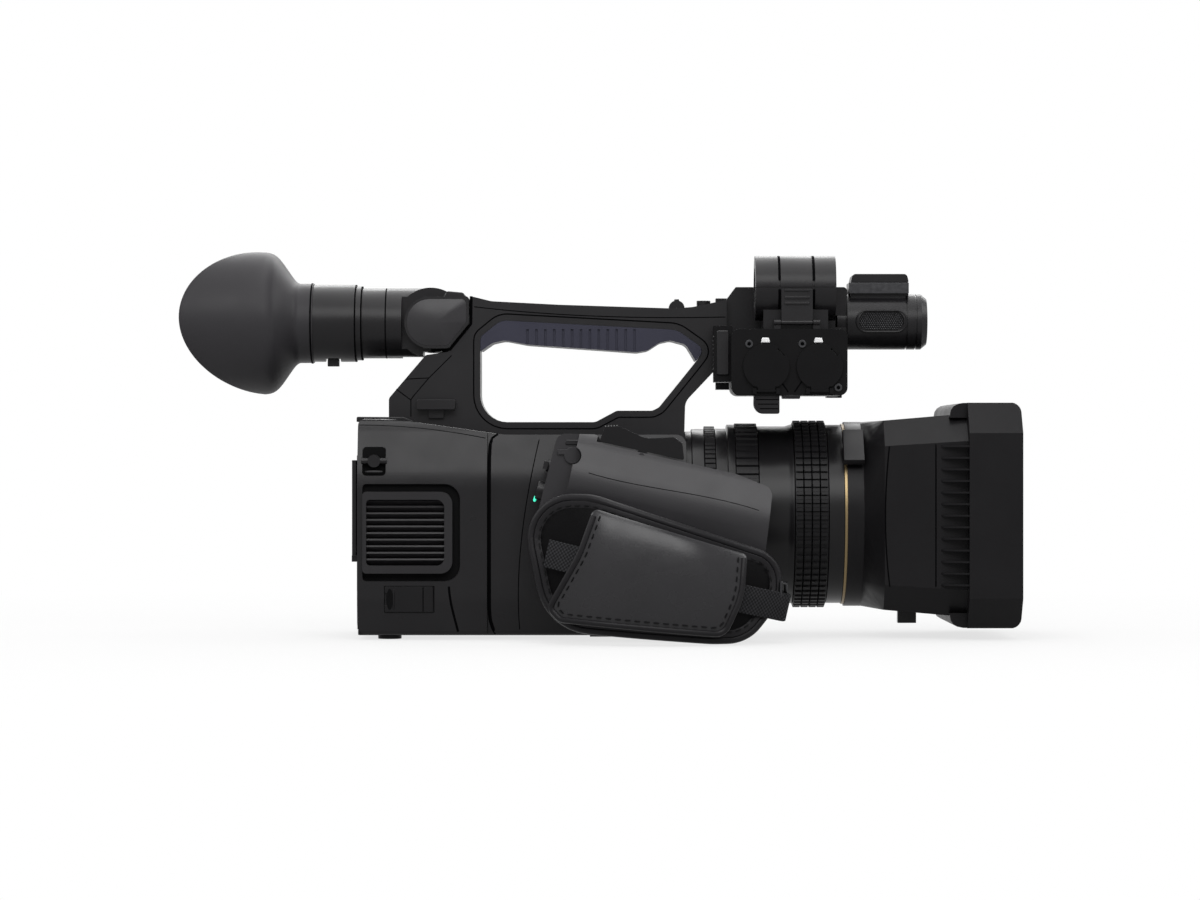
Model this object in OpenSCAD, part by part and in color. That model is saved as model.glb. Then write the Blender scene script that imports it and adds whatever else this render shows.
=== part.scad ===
// Handheld professional camcorder, operator's right side at -Y, lens towards +X
// Origin: mouth of the tripod thread, Z = 0 is the plane that the feet stand on

/* [Body] */
// Length of the casing from the rear face to the lens mount
body_len = 167; // [160:1:180]
// Front face of the casing, ahead of the tripod thread
body_front = 23; // [21:1:26]
// Reach of the right side from the lens axis
right_w = 55; // [54:1:57]
// Reach of the left side from the lens axis
left_w = 58; // [56:1:64]
// Height of the casing at its rear
body_h = 110; // [106:1:116]
// Drop of the casing top from the rear to the handle
top_drop = 8; // [5:1:10]
// Length of the right rear cover
rear_cover_len = 66; // [64:1:70]
// Step from the rear cover down to the mid cover
cover_step = 2; // [1:0.5:3]
// Wall of the casing
wall = 2.2; // [1.8:0.1:2.6]
// Height of the feet
foot_h = 2; // [1.5:0.5:3]

/* [Vent] */
// Centre of the vent from the rear face
vent_x = 24.5; // [23.5:0.5:28]
// Centre of the vent above the feet plane
vent_z = 54.3; // [50:0.5:58]
// Length of the vent window
vent_w = 39.6; // [36:0.2:40]
// Height of the vent window
vent_h = 33.4; // [31:0.2:36]
// Number of slats
slats = 10; // [6:1:12]
// Radius of the fan wheel
fan_r = 15.5; // [13:0.5:16]

/* [Lens] */
// Height of the lens axis
lens_z = 63; // [61:1:66]
// Radius of the barrel under the rings
sleeve_r = 41; // [40:0.5:41.5]
// Radius of the front glass
glass_r = 34; // [30:1:35]
// Radius of the filter thread
filter_r = 36; // [35:0.5:36.5]
// Running clearance of the rings
ring_gap = 0.08; // [0.05:0.01:0.1]

/* [Hood] */
// Length of the hood from its collar
hood_len = 87; // [84:1:92]
// Half height of the front frame
frame_hh = 57.2; // [56:0.2:58]
// Half width of the front frame
frame_hw = 68; // [66:1:70]
// Wall of the hood
hood_wall = 2.6; // [2:0.2:3]
// Number of side fins
fins = 13; // [9:1:15]
// Length of a shutter flap
flap_len = 41; // [36:1:41]

/* [Handle] */
// Half width of the handle
handle_hw = 16; // [15:0.5:18]
// Number of grooves in the grip pad
grooves = 13; // [8:1:14]
// Half width of the gap for the viewfinder
ear_gap = 12.5; // [11:0.5:13]
// Radius of the viewfinder pin
pin_r = 3; // [2:0.5:4]

/* [Viewfinder] */
// Radius of the viewfinder tube
finder_r = 18.2; // [17:0.2:18.6]
// Length from the pivot to the eyepiece rim
finder_len = 61; // [56:1:66]
// Radius of the eyepiece tube
eyepiece_r = 20; // [19.4:0.2:21]
// Radius of the eyecup at its widest
cup_r = 37; // [34:1:40]
// Length of the eyecup at its long side
cup_len = 67; // [62:1:76]

/* [Grip] */
// Reach of the grip from the side of the casing
grip_reach = 35; // [31:1:39]
// Width of the zoom rocker
rocker_w = 16; // [13:1:18]
// Reach of the hand belt from the grip
belt_reach = 30; // [26:1:34]
// Thickness of the belt pad
belt_t = 5; // [4:0.5:6]
// Width of the webbing
web_w = 14; // [10:1:16]

/* [Audio] */
// Distance between the two connectors
socket_pitch = 27.1; // [26.5:0.1:28]
// Radius of a connector cap
cap_r = 11.7; // [11:0.1:12]
// Radius of the microphone that the holder takes
mic_r = 10.5; // [9.5:0.5:11]
// Outer radius of the microphone holder
holder_r = 16.5; // [15.5:0.5:17]
// Radius of the built-in microphone
built_in_r = 14.4; // [13:0.2:15]

/* [Screen] */
// Length of the screen panel
screen_w = 62; // [56:1:64]
// Height of the screen panel
screen_h = 48; // [44:1:52]
// Thickness of the screen panel
screen_t = 10; // [8:0.5:12]

/* [Hidden] */
$fn = 96;

black = [0.12, 0.12, 0.13];
charcoal = [0.17, 0.17, 0.18];
rubber = [0.21, 0.21, 0.25];
steel = [0.62, 0.62, 0.64];
gold = [0.74, 0.62, 0.34];
glass = [0.25, 0.3, 0.38];
board_green = [0.1, 0.35, 0.2];

// Small gaps between fixed pieces, and between moving ones
fit = 0.1;
free = 0.3;
pin_gap = 0.06;
far = 300;
arc_steps = 8;

// Planes of the casing
rear = body_front - body_len;
seam = rear + rear_cover_len;
top_z = foot_h + body_h;
mid_top = top_z - top_drop;
mid_w = right_w - cover_step;

// Rounded outline: each corner is [x, y, radius]
function unit(v) = v / norm(v);
function turned(v, a) = [v.x * cos(a) - v.y * sin(a), v.x * sin(a) + v.y * cos(a)];
function corner(a, b, c) =
  let (r = b[2], at = [b.x, b.y], u = unit([a.x, a.y] - at), w = unit([c.x, c.y] - at))
  let (half = acos(u * w) / 2, side = u.x * w.y - u.y * w.x > 0 ? -1 : 1)
  let (middle = at + unit(u + w) * r / sin(half), start = at + u * r / tan(half) - middle)
  let (turn = side * (180 - 2 * half) / arc_steps)
  r == 0 ? [at] : [for (i = [0 : arc_steps]) middle + turned(start, turn * i)];
function rounded(p) = let (n = len(p))
  [for (i = [0 : n - 1]) each corner(p[(i + n - 1) % n], p[i], p[(i + 1) % n])];
function shifted(p, dx, dy) = [for (q = p) [q.x + dx, q.y + dy, q[2]]];

module outline(p) {
  polygon(rounded(p));
}

module along_x(x0, x1) {
  translate([x0, 0, 0]) rotate([90, 0, 90]) linear_extrude(x1 - x0) children();
}

module along_y(y0, y1) {
  translate([0, y1, 0]) rotate([90, 0, 0]) linear_extrude(y1 - y0) children();
}

module box(x0, x1, y0, y1, z0, z1) {
  translate([x0, y0, z0]) cube([x1 - x0, y1 - y0, z1 - z0]);
}

module rod_x(x0, x1, y, z, r) {
  translate([x0, y, z]) rotate([0, 90, 0]) cylinder(h = x1 - x0, r = r);
}

module rod_y(y0, y1, x, z, r) {
  translate([x, y1, z]) rotate([90, 0, 0]) cylinder(h = y1 - y0, r = r);
}

module rod_z(z0, z1, x, y, r) {
  translate([x, y, z0]) cylinder(h = z1 - z0, r = r);
}

module both_sides() {
  children();
  mirror([0, 1, 0]) children();
}

// Casing

function casing_side(i) = i <= 0
  ? [[rear + i, foot_h + i, 6], [rear + i, top_z - i, 3], [rear + 18, top_z - i, 60],
    [seam + 8, mid_top - i, 60], [body_front - i, mid_top - i, 5], [body_front - i, foot_h + i, 4]]
  : [[rear - 9, foot_h - 9, 0], [rear - 9, top_z - i, 0], [rear + 18, top_z - i, 60],
    [seam + 8, mid_top - i, 60], [body_front - i, mid_top - i, 4], [body_front - i, foot_h - 9, 0]];

function casing_front(w, i) = let (low = i > 0 ? foot_h - 9 : foot_h + i)
  [[i - w + 2.5, low, i > 0 ? 0 : 3], [i - w, foot_h + 18, 30], [i - w, top_z - 30, 40],
    [i - w + 10, top_z + 1 - i, 12], [left_w - 7 - i, top_z + 1 - i, 12], [left_w - i, top_z - 30, 40],
    [left_w - i, foot_h + 18, 30], [left_w - i - 2.5, low, i > 0 ? 0 : 3]];

module casing(w, i) {
  intersection() {
    along_y(-far, far) outline(casing_side(i));
    along_x(-far, far) outline(casing_front(w, i));
  }
}

module shell(w) {
  difference() {
    casing(w, 0);
    casing(w, wall);
  }
}

spigot_r = 36;

module lens_hole() {
  rod_x(body_front - 10, body_front + 10, 0, lens_z, spigot_r + fit);
}

vent_at = [rear + vent_x, vent_z];
vent_rim = 4;
vent_moat = 8;
vent_floor = right_w - 4.5;

function vent_outline(grow) = let (x0 = vent_at.x - vent_w / 2, x1 = vent_at.x + vent_w / 2)
  let (z0 = vent_at.y - vent_h / 2 - grow, z1 = vent_at.y + vent_h / 2 + grow)
  [[x0 - min(grow, 2), z0, 2], [x1 + grow, z0, 4 + grow / 2], [x1 + grow, z1, 4 + grow / 2],
    [x0 - min(grow, 2), z1, 2]];

hook_at = [rear + 8.5, top_z - 21.4];
hook_w = 12;
hook_h = 15;
hook_depth = 5;
cover_at = [rear + 26.5, foot_h + 18.5];
cover_w = 25;
cover_h = 13;
cover_t = 2;

module hook_pocket() {
  along_y(-far, hook_depth - right_w)
    outline([[hook_at.x - hook_w / 2, hook_at.y - hook_h / 2, 2], [hook_at.x + hook_w / 2,
      hook_at.y - hook_h / 2, 2],
      [hook_at.x + hook_w / 2, hook_at.y + hook_h / 2, 2], [hook_at.x - hook_w / 2,
        hook_at.y + hook_h / 2, 2]]);
}

// Left end of the terminal cover is free, its right end is the hinge
cover_hinge = [cover_at.x + cover_w / 2 - cover_t / 2, -right_w + cover_t / 2];

module right_rear_cover() {
  color(black) {
    difference() {
      union() {
        intersection() {
          shell(right_w);
          box(rear - 1, seam - fit, -far, -fit / 2, -far, far);
        }
        intersection() {
          casing(right_w, wall / 2);
          union() {
            box(hook_at.x - hook_w / 2 - wall, hook_at.x + hook_w / 2 + wall, -far,
              hook_depth + wall - right_w, hook_at.y - hook_h / 2 - wall, hook_at.y + hook_h / 2 + wall);
            box(cover_at.x - cover_w / 2 - wall, cover_at.x + cover_w / 2 + wall, -far,
              cover_t + 6 - right_w, cover_at.y - cover_h / 2 - wall, cover_at.y + cover_h / 2 + wall);
          }
        }
      }
      along_y(-far, -right_w / 2) outline(vent_outline(vent_moat));
      hook_pocket();
      box(cover_at.x - cover_w / 2 - free, cover_at.x + cover_w / 2 + free, -far, cover_t + free - right_w,
        cover_at.y - cover_h / 2 - free, cover_at.y + cover_h / 2 + free);
      for (x = [-7, 0, 7]) rod_y(-far, cover_t + 4 - right_w, cover_at.x + x, cover_at.y, 1.8);
    }
    rod_x(hook_at.x - hook_w / 2 - 0.5, hook_at.x + hook_w / 2 + 0.5, 3 - right_w, hook_at.y, 1.6);
    rod_y(0.9 - right_w, hook_depth + 0.5 - right_w, hook_at.x, hook_at.y, 3.2);
  }
}

module right_mid_cover() {
  color(black) difference() {
    intersection() {
      shell(mid_w);
      box(seam + fit, far, -far, -fit / 2, -far, far);
    }
    lens_hole();
  }
}

board_y = left_w - 10;
board_t = 1.6;

module left_cover() {
  color(black) {
    difference() {
      intersection() {
        shell(right_w);
        box(rear - 1, far, fit / 2, far, -far, far);
      }
      lens_hole();
    }
    for (x = [rear + 12, body_front - 30], z = [foot_h + 14, mid_top - 22])
      rod_y(board_y + board_t, left_w - wall / 2, x, z, 3);
  }
}

battery = [59, 39, 71];
battery_y = 22;
battery_z = 58;
bay_gap = 0.4;
panel_t = 2.5;
door = [2, 40, 50];
door_y = 28 - right_w;
door_z = 66;
door_pin_r = 0.9;
door_hinge = [rear - 1.5, door_z - door.z / 2];

module rear_panel() {
  color(black) {
    difference() {
      union() {
        intersection() {
          along_x(rear, rear + panel_t) outline(casing_front(right_w, wall + fit));
          box(rear - 1, rear + panel_t + 1, -far, far, foot_h + 3 + fit, top_z - wall - fit);
        }
        box(rear, rear + battery.x + 2, battery_y - battery.y / 2 - 1.6, battery_y + battery.y / 2 + 1.6,
          battery_z - battery.z / 2 - 1.6, battery_z + battery.z / 2 + 1.6);
      }
      box(rear - 1, rear + battery.x - 2.6, battery_y - battery.y / 2 - bay_gap,
        battery_y + battery.y / 2 + bay_gap,
        battery_z - battery.z / 2 - bay_gap, battery_z + battery.z / 2 + bay_gap);
      box(rear - 1, rear + panel_t + 1, -far, hook_depth + wall + free - right_w,
        hook_at.y - hook_h / 2 - wall - free, hook_at.y + hook_h / 2 + wall + free);
    }
    for (side = [-1, 1], y = [door_y + side * (door.y / 2 + free + 1)])
      difference() {
        box(rear - 3, rear + 0.5, y - 1, y + 1, door_hinge.y - 1.6, door_hinge.y + 1.6);
        rod_y(y - 2, y + 2, door_hinge.x, door_hinge.y, door_pin_r + pin_gap);
      }
  }
}

module card_door() {
  color(charcoal) difference() {
    union() {
      box(rear - 3, rear - 3 + door.x, door_y - door.y / 2, door_y + door.y / 2, door_hinge.y,
        door_z + door.z / 2);
      rod_y(door_y - door.y / 2, door_y + door.y / 2, door_hinge.x, door_hinge.y, 1.35);
      rod_y(door_y - door.y / 2 - 1.8, door_y + door.y / 2 + 1.8, door_hinge.x, door_hinge.y, door_pin_r);
    }
    box(rear - 4, rear - 2.4, door_y - 8, door_y + 8, door_z + door.z / 2 - 8, door_z + door.z / 2 - 5);
  }
}

module battery_pack() {
  color(charcoal) box(rear - 3.4, rear - 3.4 + battery.x, battery_y - battery.y / 2, battery_y + battery.y / 2,
    battery_z - battery.z / 2, battery_z + battery.z / 2);
}

base_t = 3;

module base_plate() {
  color(black) difference() {
    box(rear + fit, body_front - wall - fit, wall + 3 - mid_w, left_w - wall - 3, foot_h,
      foot_h + base_t);
    box(tripod_x0 - fit, tripod_x1 + fit, -tripod_hw - fit, tripod_hw + fit, -far, far);
  }
}

tripod_x0 = -26;
tripod_x1 = 19;
tripod_hw = 20;
thread_r = 3.175;
stop_pin_r = 2.3;
stop_pin_x = 14;

module tripod_plate() {
  color(steel) difference() {
    union() {
      box(tripod_x0, tripod_x1, -tripod_hw, tripod_hw, 0, foot_h + base_t);
      box(tripod_x0 - 5, tripod_x1, -tripod_hw - 5, tripod_hw + 5, foot_h + base_t, foot_h + base_t + 2);
      rod_z(0, foot_h + base_t + 5, 0, 0, 8);
    }
    rod_z(-1, far, 0, 0, thread_r);
    rod_z(-1, far, stop_pin_x, 0, stop_pin_r);
  }
}

module rubber_feet() {
  color(rubber) for (y = [12 - mid_w, left_w - 14]) {
    rod_z(0, foot_h, rear + 16, y, 6);
    rod_z(0, foot_h, body_front - 14, y, 6);
  }
}

module main_board() {
  color(board_green) {
    box(rear + 6, body_front - 24, board_y, board_y + board_t, foot_h + 8, mid_top - 16);
    for (x = [-60, -30]) box(x - 9, x + 9, board_y - 2.5, board_y, lens_z - 10, lens_z + 8);
  }
}

module sensor_block() {
  color(steel) {
    rod_x(body_front - 17, body_front - 13, 0, lens_z, 33);
    box(body_front - 27, body_front - 17, -16, 16, lens_z - 14, lens_z + 14);
    for (z = [-12, -4, 4, 12]) box(body_front - 38, body_front - 27, -15, 15, lens_z + z - 1,
      lens_z + z + 1);
  }
}

slat_pitch = vent_h / slats;
slat_t = 1.1;

module vent_grille() {
  color(charcoal) {
    difference() {
      union() {
        along_y(-vent_floor - 2, -vent_floor) outline(vent_outline(vent_moat - fit));
        along_y(-right_w - 1.6, -vent_floor) outline(vent_outline(vent_rim));
      }
      along_y(-far, far) outline(vent_outline(0));
    }
    for (i = [0 : slats - 1])
      translate([vent_at.x, -vent_floor - 2.6, vent_at.y + (i - slats / 2 + 0.5) * slat_pitch])
        rotate([-38, 0, 0]) cube([vent_w + 1, 5, slat_t], center = true);
  }
}

fan_y = vent_floor;
fan_t = 9;
fan_side = 2 * fan_r + 5;
hub_r = 7;
shaft_r = 1.2;

module fan_housing() {
  color(black) {
    difference() {
      box(vent_at.x - fan_side / 2, vent_at.x + fan_side / 2, -fan_y, fan_t - fan_y,
        vent_at.y - fan_side / 2, vent_at.y + fan_side / 2);
      rod_y(-far, far, vent_at.x, vent_at.y, fan_r + 0.6);
    }
    for (a = [45, 135])
      translate([vent_at.x, fan_t - 0.8 - fan_y, vent_at.y]) rotate([0, a, 0])
        cube([2 * fan_r + 4, 1.6, 3], center = true);
    rod_y(fan_t - 1.6 - fan_y, fan_t - fan_y, vent_at.x, vent_at.y, hub_r);
    rod_y(2 - fan_y, fan_t - fan_y, vent_at.x, vent_at.y, shaft_r);
  }
}

module fan_rotor() {
  color(charcoal) difference() {
    union() {
      rod_y(1.4 - fan_y, fan_t - 2 - fan_y, vent_at.x, vent_at.y, hub_r);
      for (a = [0 : 360 / 7 : 359])
        translate([vent_at.x, fan_t / 2 - 0.4 - fan_y, vent_at.y]) rotate([0, a, 0])
          translate([fan_r / 2 + hub_r / 2 - 0.5, 0, 0]) rotate([40, 0, 0])
            cube([fan_r - hub_r, 1, 5], center = true);
    }
    rod_y(1.8 - fan_y, far, vent_at.x, vent_at.y, shaft_r + pin_gap);
  }
}

module terminal_cover() {
  color(rubber) {
    difference() {
      box(cover_at.x - cover_w / 2, cover_hinge.x, -right_w, cover_t - right_w,
        cover_at.y - cover_h / 2, cover_at.y + cover_h / 2);
      rod_y(-far, 0.8 - right_w, cover_at.x - cover_w / 2 + 1, cover_at.y, 3);
    }
    rod_z(cover_at.y - cover_h / 2, cover_at.y + cover_h / 2, cover_hinge.x, cover_hinge.y, cover_t / 2);
  }
}

// Hand grip: slopes down towards the lens

grip_w = mid_w + grip_reach;
grip_slope = 12.4;
grip_z = mid_top;
rocker_at = [0, -(rocker_w / 2 + mid_w + 10), grip_z - 10.8];
rear_face = 14.3;
rocker_pin_r = 1.5;
thumb_r = 5;
switch_r = 3;
switch_up = 13;
plug_r = 3;
remote_r = 4.2;
lens_room_r = 49.6;
thumb_at = [-49.6, -mid_w - 11, grip_z - 28.5];
remote_at = [-34.6, grip_z - 10.5];
rear_block_w = grip_w - 14;

module on_rear_face() {
  translate(thumb_at) rotate([0, -90 + rear_face, 0]) children();
}

module on_slope() {
  translate(rocker_at) rotate([0, grip_slope, 0]) children();
}

grip_side = shifted([[-42, 0.5, 5], [-21.8, 0, 3], [-20, -4.6, 2], [47.3, -19.7, 30], [63.7, -26.3, 4],
  [65.4, -29.7, 3], [61.9, -58.4, 30], [55, -88, 10], [-44, -92, 12], [-52.9, -42.4, 30]], 0, grip_z);

module grip_shell() {
  color(charcoal) difference() {
    union() {
      intersection() {
        along_y(-grip_w, -mid_w / 2) outline(grip_side);
        translate([-26, 0, grip_z]) rotate([0, grip_slope, 0]) along_x(-5, 120)
          outline([[-40, 10, 0], [-60, 10, 4], [-grip_w + 8, -2, 14], [-grip_w, -22, 30],
            [-grip_w + 4, -70, 30],
            [-grip_w + 16, -100, 10], [-40, -100, 0]]);
      }
      intersection() {
        along_y(-rear_block_w, -mid_w / 2) outline(grip_side);
        box(-far, -20, -far, far, -far, far);
      }
    }
    casing(mid_w, -fit / 2);
    rod_x(body_front - 1, far, 0, lens_z, lens_room_r);
    on_slope() box(-23.5, 23, -rocker_w / 2 - 0.6, rocker_w / 2 + 0.6, -4.5, 20);
    on_rear_face() translate([0, 0, -3]) cylinder(h = 20, r = thumb_r + free);
    on_rear_face() translate([switch_up, 0, -3]) cylinder(h = 20, r = switch_r + pin_gap);
    rod_y(-far, 3 - rear_block_w, remote_at.x, remote_at.y, plug_r + fit);
    rod_y(-far, -rear_block_w, remote_at.x, remote_at.y, remote_r + free);
  }
  color(steel) on_slope() rod_y(-rocker_w / 2 - 2, rocker_w / 2 + 2, 0, 0, rocker_pin_r);
}

module zoom_rocker() {
  color(charcoal) on_slope() difference() {
    union() {
      along_y(-rocker_w / 2, rocker_w / 2)
        outline([[-22.2, 2.5, 0.8], [-21, 10.4, 1.5], [-14.3, 12.3, 3], [0, 9, 12], [13.8, 12.7, 3],
          [18.7, 10.5, 1.5], [21.4, 2.5, 0.8]]);
      rod_y(-rocker_w / 2, rocker_w / 2, 0, 0, 3.2);
    }
    rod_y(-far, far, 0, 0, rocker_pin_r + pin_gap);
  }
}

module record_button() {
  color(charcoal) on_rear_face() translate([0, 0, -1.2]) cylinder(h = 4.4, r = thumb_r);
}

module power_switch() {
  color(charcoal) on_rear_face() translate([switch_up, 0, 0]) {
    translate([0, 0, -2.8]) cylinder(h = 4, r = switch_r);
    translate([-2, -5, 0.6]) cube([4, 10, 2.4]);
  }
}

module remote_cap() {
  color(rubber) {
    rod_y(-rear_block_w - 1.4, -rear_block_w - fit / 2, remote_at.x, remote_at.y, remote_r);
    rod_y(-rear_block_w - 0.5, 2.6 - rear_block_w, remote_at.x, remote_at.y, plug_r - fit);
    box(remote_at.x - 7.5, remote_at.x, -rear_block_w - 1.4, -rear_block_w - fit / 2,
      remote_at.y + 0.4, remote_at.y + 3);
  }
}

// Hand belt: outline in side view, bowed outwards in plan

belt_y = grip_w + belt_reach;
belt_mid = 6;
belt_half = 62;
belt_bow = 24;
function bow(x) = belt_y - belt_bow * pow((x - belt_mid) / belt_half, 2);

belt_outline = [[-61.8, 74.6, 22], [-24, 74.3, 30], [69.6, 43.1, 17], [69.6, 22.2, 20], [52.3, 0.6, 21],
  [34, 0.6, 60], [-47.6, 7, 28]];
flap_leather_t = 2.4;
sheet_step = 8;
flap_outline = [[51.8, 44.6, 3], [46.6, 16.5, 12], [33, 3.4, 12], [-41, 11.2, 6], [-47.5, 18, 5],
  [-32, 45.5, 50], [-24, 67.5, 3]];

function ring_point(p, c, s, side, t, off) = let (x = c.x + s * (p.x - c.x), z = c.y + s * (p.y - c.y))
  [x, -bow(x) - off - side * t / 2 * sqrt(1 - pow(s, 6)) , z];

// Closed outline with no side longer than the given step
function divided(p, step) = let (n = len(p))
  [for (i = [0 : n - 1]) let (a = p[i], b = p[(i + 1) % n], m = max(ceil(norm(b - a) / step), 1))
    for (k = [0 : m - 1]) a + (b - a) * k / m];

// Padded sheet: rings from its middle to its edge, thick at the crown and drawn in to the edge
module padded_sheet(corners, t, off) {
  rim = divided(rounded(corners), sheet_step);
  n = len(rim);
  middle = [for (k = [0, 1]) (min([for (p = rim) p[k]]) + max([for (p = rim) p[k]])) / 2];
  steps = [0.22, 0.45, 0.67, 0.84, 0.95];
  m = len(steps);
  points = concat([for (side = [1, -1], s = steps, p = rim) ring_point(p, middle, s, side, t, off)],
    [for (p = rim) ring_point(p, middle, 1, 0, t, off)],
    [for (side = [1, -1]) ring_point(middle, middle, 0, side, t, off)]);
  edge = 2 * m * n;
  function at(layer, j, i) = (layer * m + j) * n + i % n;
  function last(layer, i) = edge + i % n;
  faces = concat(
    [for (j = [0 : m - 2], i = [0 : n - 1]) each [[at(0, j, i), at(0, j + 1, i), at(0, j + 1, i + 1)],
      [at(0, j, i), at(0, j + 1, i + 1), at(0, j, i + 1)]]],
    [for (j = [0 : m - 2], i = [0 : n - 1]) each [[at(1, j, i), at(1, j + 1, i + 1), at(1, j + 1, i)],
      [at(1, j, i), at(1, j, i + 1), at(1, j + 1, i + 1)]]],
    [for (i = [0 : n - 1]) each [[at(0, m - 1, i), last(0, i), last(0, i + 1)],
      [at(0, m - 1, i), last(0, i + 1), at(0, m - 1, i + 1)]]],
    [for (i = [0 : n - 1]) each [[at(1, m - 1, i), last(1, i + 1), last(1, i)],
      [at(1, m - 1, i), at(1, m - 1, i + 1), last(1, i + 1)]]],
    [for (i = [0 : n - 1]) each [[edge + n, at(0, 0, i), at(0, 0, i + 1)],
      [edge + n + 1, at(1, 0, i + 1), at(1, 0, i)]]]);
  polyhedron(points, faces);
}

module belt_pad() {
  color(black) padded_sheet(belt_outline, belt_t, 0);
}

module belt_flap() {
  color(black) padded_sheet(flap_outline, flap_leather_t, web_off + web_lift + web_t + web_gap + flap_leather_t / 2);
}

// Webbing: lies between pad and flap, turns round the front edge of the pad and runs back to the grip
web_t = 1.4;
web_slope = 14;
web_z = 33;
web_gap = 0.3;
web_lift = web_w / 2 * sin(web_slope) * 0.6;
web_off = belt_t / 2 + web_gap + web_lift;
web_ends = [-46.4, 69];
web_turn = 74.5;
web_steps = 12;
function web_bow(x) = bow(belt_mid + (x - belt_mid) * cos(web_slope));
web_xs = [for (i = [0 : web_steps]) web_ends[0] + (web_ends[1] - web_ends[0]) * i / web_steps];
web_back = [64, -rear_block_w - 2];

module belt_webbing() {
  edge_y = -bow(web_turn - 4);
  outer = concat([for (x = web_xs) [x, -web_bow(x) - web_off - web_t]],
    [[web_turn, edge_y - 1], [web_turn, edge_y + 4], web_back + [1, 0.6]]);
  inner = concat([for (x = web_xs) [x, -web_bow(x) - web_off]],
    [[web_turn - web_t, edge_y - 0.4], [web_turn - web_t, edge_y + 3.4], web_back]);
  color(black) {
    translate([belt_mid, 0, web_z]) rotate([0, web_slope, 0]) translate([-belt_mid, 0, -web_w / 2])
      linear_extrude(web_w) polygon(concat(outer, [for (i = [len(inner) - 1 : -1 : 0]) inner[i]]));
    box(web_ends[0] - web_t, web_ends[0], belt_t / 2 + web_gap - bow(web_ends[0] - web_t),
      -rear_block_w - fit,
      web_z + 6, web_z + 6 + web_w);
  }
}

// Handle: outlines are measured from the casing top

finder_at = [-108.3, mid_top + 58];

handle_outline = shifted([[-129.8, -12, 0], [-129.8, 18.9, 3], [-110.8, 41.2, 2], [-98.7, 43, 3],
  [-88.6, 57.5, 3], [-87.4, 71.6, 1.2], [-76.8, 69, 14], [-42, 67.2, 60], [16.6, 65.3, 60], [27, 66, 20],
  [44.6, 69.7, 0], [44.6, 42, 2], [38.5, 33.3, 3], [body_front + 0.2, 17.1, 8], [body_front - 0.6,
    -12, 0]], 0, mid_top);
handle_hole = shifted([[-82.6, 6.6, 14], [-82.6, 50.6, 4], [-72, 59.2, 9], [18.9, 54.3, 12], [33.5,
  44, 4],
  [27, 35.6, 2], [9.7, 14.2, 6], [6.2, 12.5, 4], [-12.2, 12.5, 4], [-23.2, 6.6, 6]], 0, mid_top);
pad_outline = shifted([[-82.5, 43, 0.5], [-82.5, 50.5, 4], [-72, 59.1, 9], [18.9, 54.2, 12], [33.3,
  44, 4],
  [28.6, 38, 0.5], [27, 40.8, 2], [23.5, 46.6, 5], [15.5, 48.8, 6], [10, 47.6, 6], [3.9, 43.6, 6],
    [-1.8, 42.6, 8],
  [-58.3, 46.6, 20], [-69.9, 48.8, 10], [-76.2, 47.4, 4]], 0, mid_top);
ear_outline = shifted([[-88.4, 71.4, 1.5], [-88.4, 57.4, 3], [-99, 44.6, 3], [-112, 44.6, 0],
  [-112, 71.4, 0]], 0, mid_top);
ear_proud = 3;
ear_r = 13.4;
finder_head_r = 15.2;

module handle_frame() {
  color(black) difference() {
    union() {
      difference() {
        along_y(-handle_hw, handle_hw) outline(handle_outline);
        along_y(-far, far) outline(handle_hole);
      }
      along_y(-handle_hw - ear_proud, handle_hw + ear_proud) {
        outline(ear_outline);
        translate(finder_at) circle(ear_r);
      }
      along_y(-handle_hw, handle_hw) translate([finder_at.x, mid_top + 44]) square([22, 16]);
    }
    difference() {
      union() {
        rod_y(-ear_gap, ear_gap, finder_at.x, finder_at.y, finder_r + 0.5);
        intersection() {
          rod_y(-ear_gap, ear_gap, finder_at.x, finder_at.y, finder_r + 3);
          box(-far, far, -far, far, finder_at.y, far);
        }
        box(-far, finder_at.x, -ear_gap, ear_gap, mid_top + 42, far);
      }
      rod_y(-far, far, finder_at.x, finder_at.y, pin_r);
    }
    casing(right_w, -fit / 2);
    rod_y(-5.5, 5.5, lever_at.x, lever_at.y, 4.5);
    rod_z(lever_at.y - 2.2, far, lever_at.x + 14, 0, 3.6 + fit);
  }
}

module handle_grip_pad() {
  pitch = 4.6;
  color(rubber) difference() {
    along_y(-handle_hw - 0.6, handle_hw + 0.6) outline(pad_outline);
    for (i = [0 : grooves - 1], side = [-1, 1])
      translate([(i - grooves + 1) * pitch - 3, side * (handle_hw + 0.6), mid_top + 49])
        cube([1.3, 1.8, 11], center = true);
  }
}

lever_at = [19, mid_top + 65.8];

module handle_zoom_lever() {
  color(charcoal) {
    rod_y(-4.5, 4.5, lever_at.x, lever_at.y, 4.1);
    box(lever_at.x - 1.2, lever_at.x + 1.2, -4.5, 4.5, lever_at.y + 3, lever_at.y + 4.7);
  }
}

module handle_record_button() {
  color(charcoal) rod_z(lever_at.y - 0.8, lever_at.y + 4, lever_at.x + 14, 0, 3.6);
}

lug_at = [-105.3, mid_top + 15.6];

module strap_lug() {
  color(steel) {
    box(lug_at.x - 4, lug_at.x + 4, -handle_hw - 2, -handle_hw, lug_at.y - 7, lug_at.y);
    difference() {
      along_y(-handle_hw - 6, -handle_hw) outline([[lug_at.x - 10, lug_at.y - 2.6, 1],
        [lug_at.x + 10, lug_at.y - 2.6, 1],
        [lug_at.x + 10, lug_at.y + 2.6, 1], [lug_at.x - 10, lug_at.y + 2.6, 1]]);
      box(lug_at.x - 8, lug_at.x + 8, -handle_hw - 4.5, -handle_hw - 1.5, -far, far);
    }
  }
}

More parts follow.
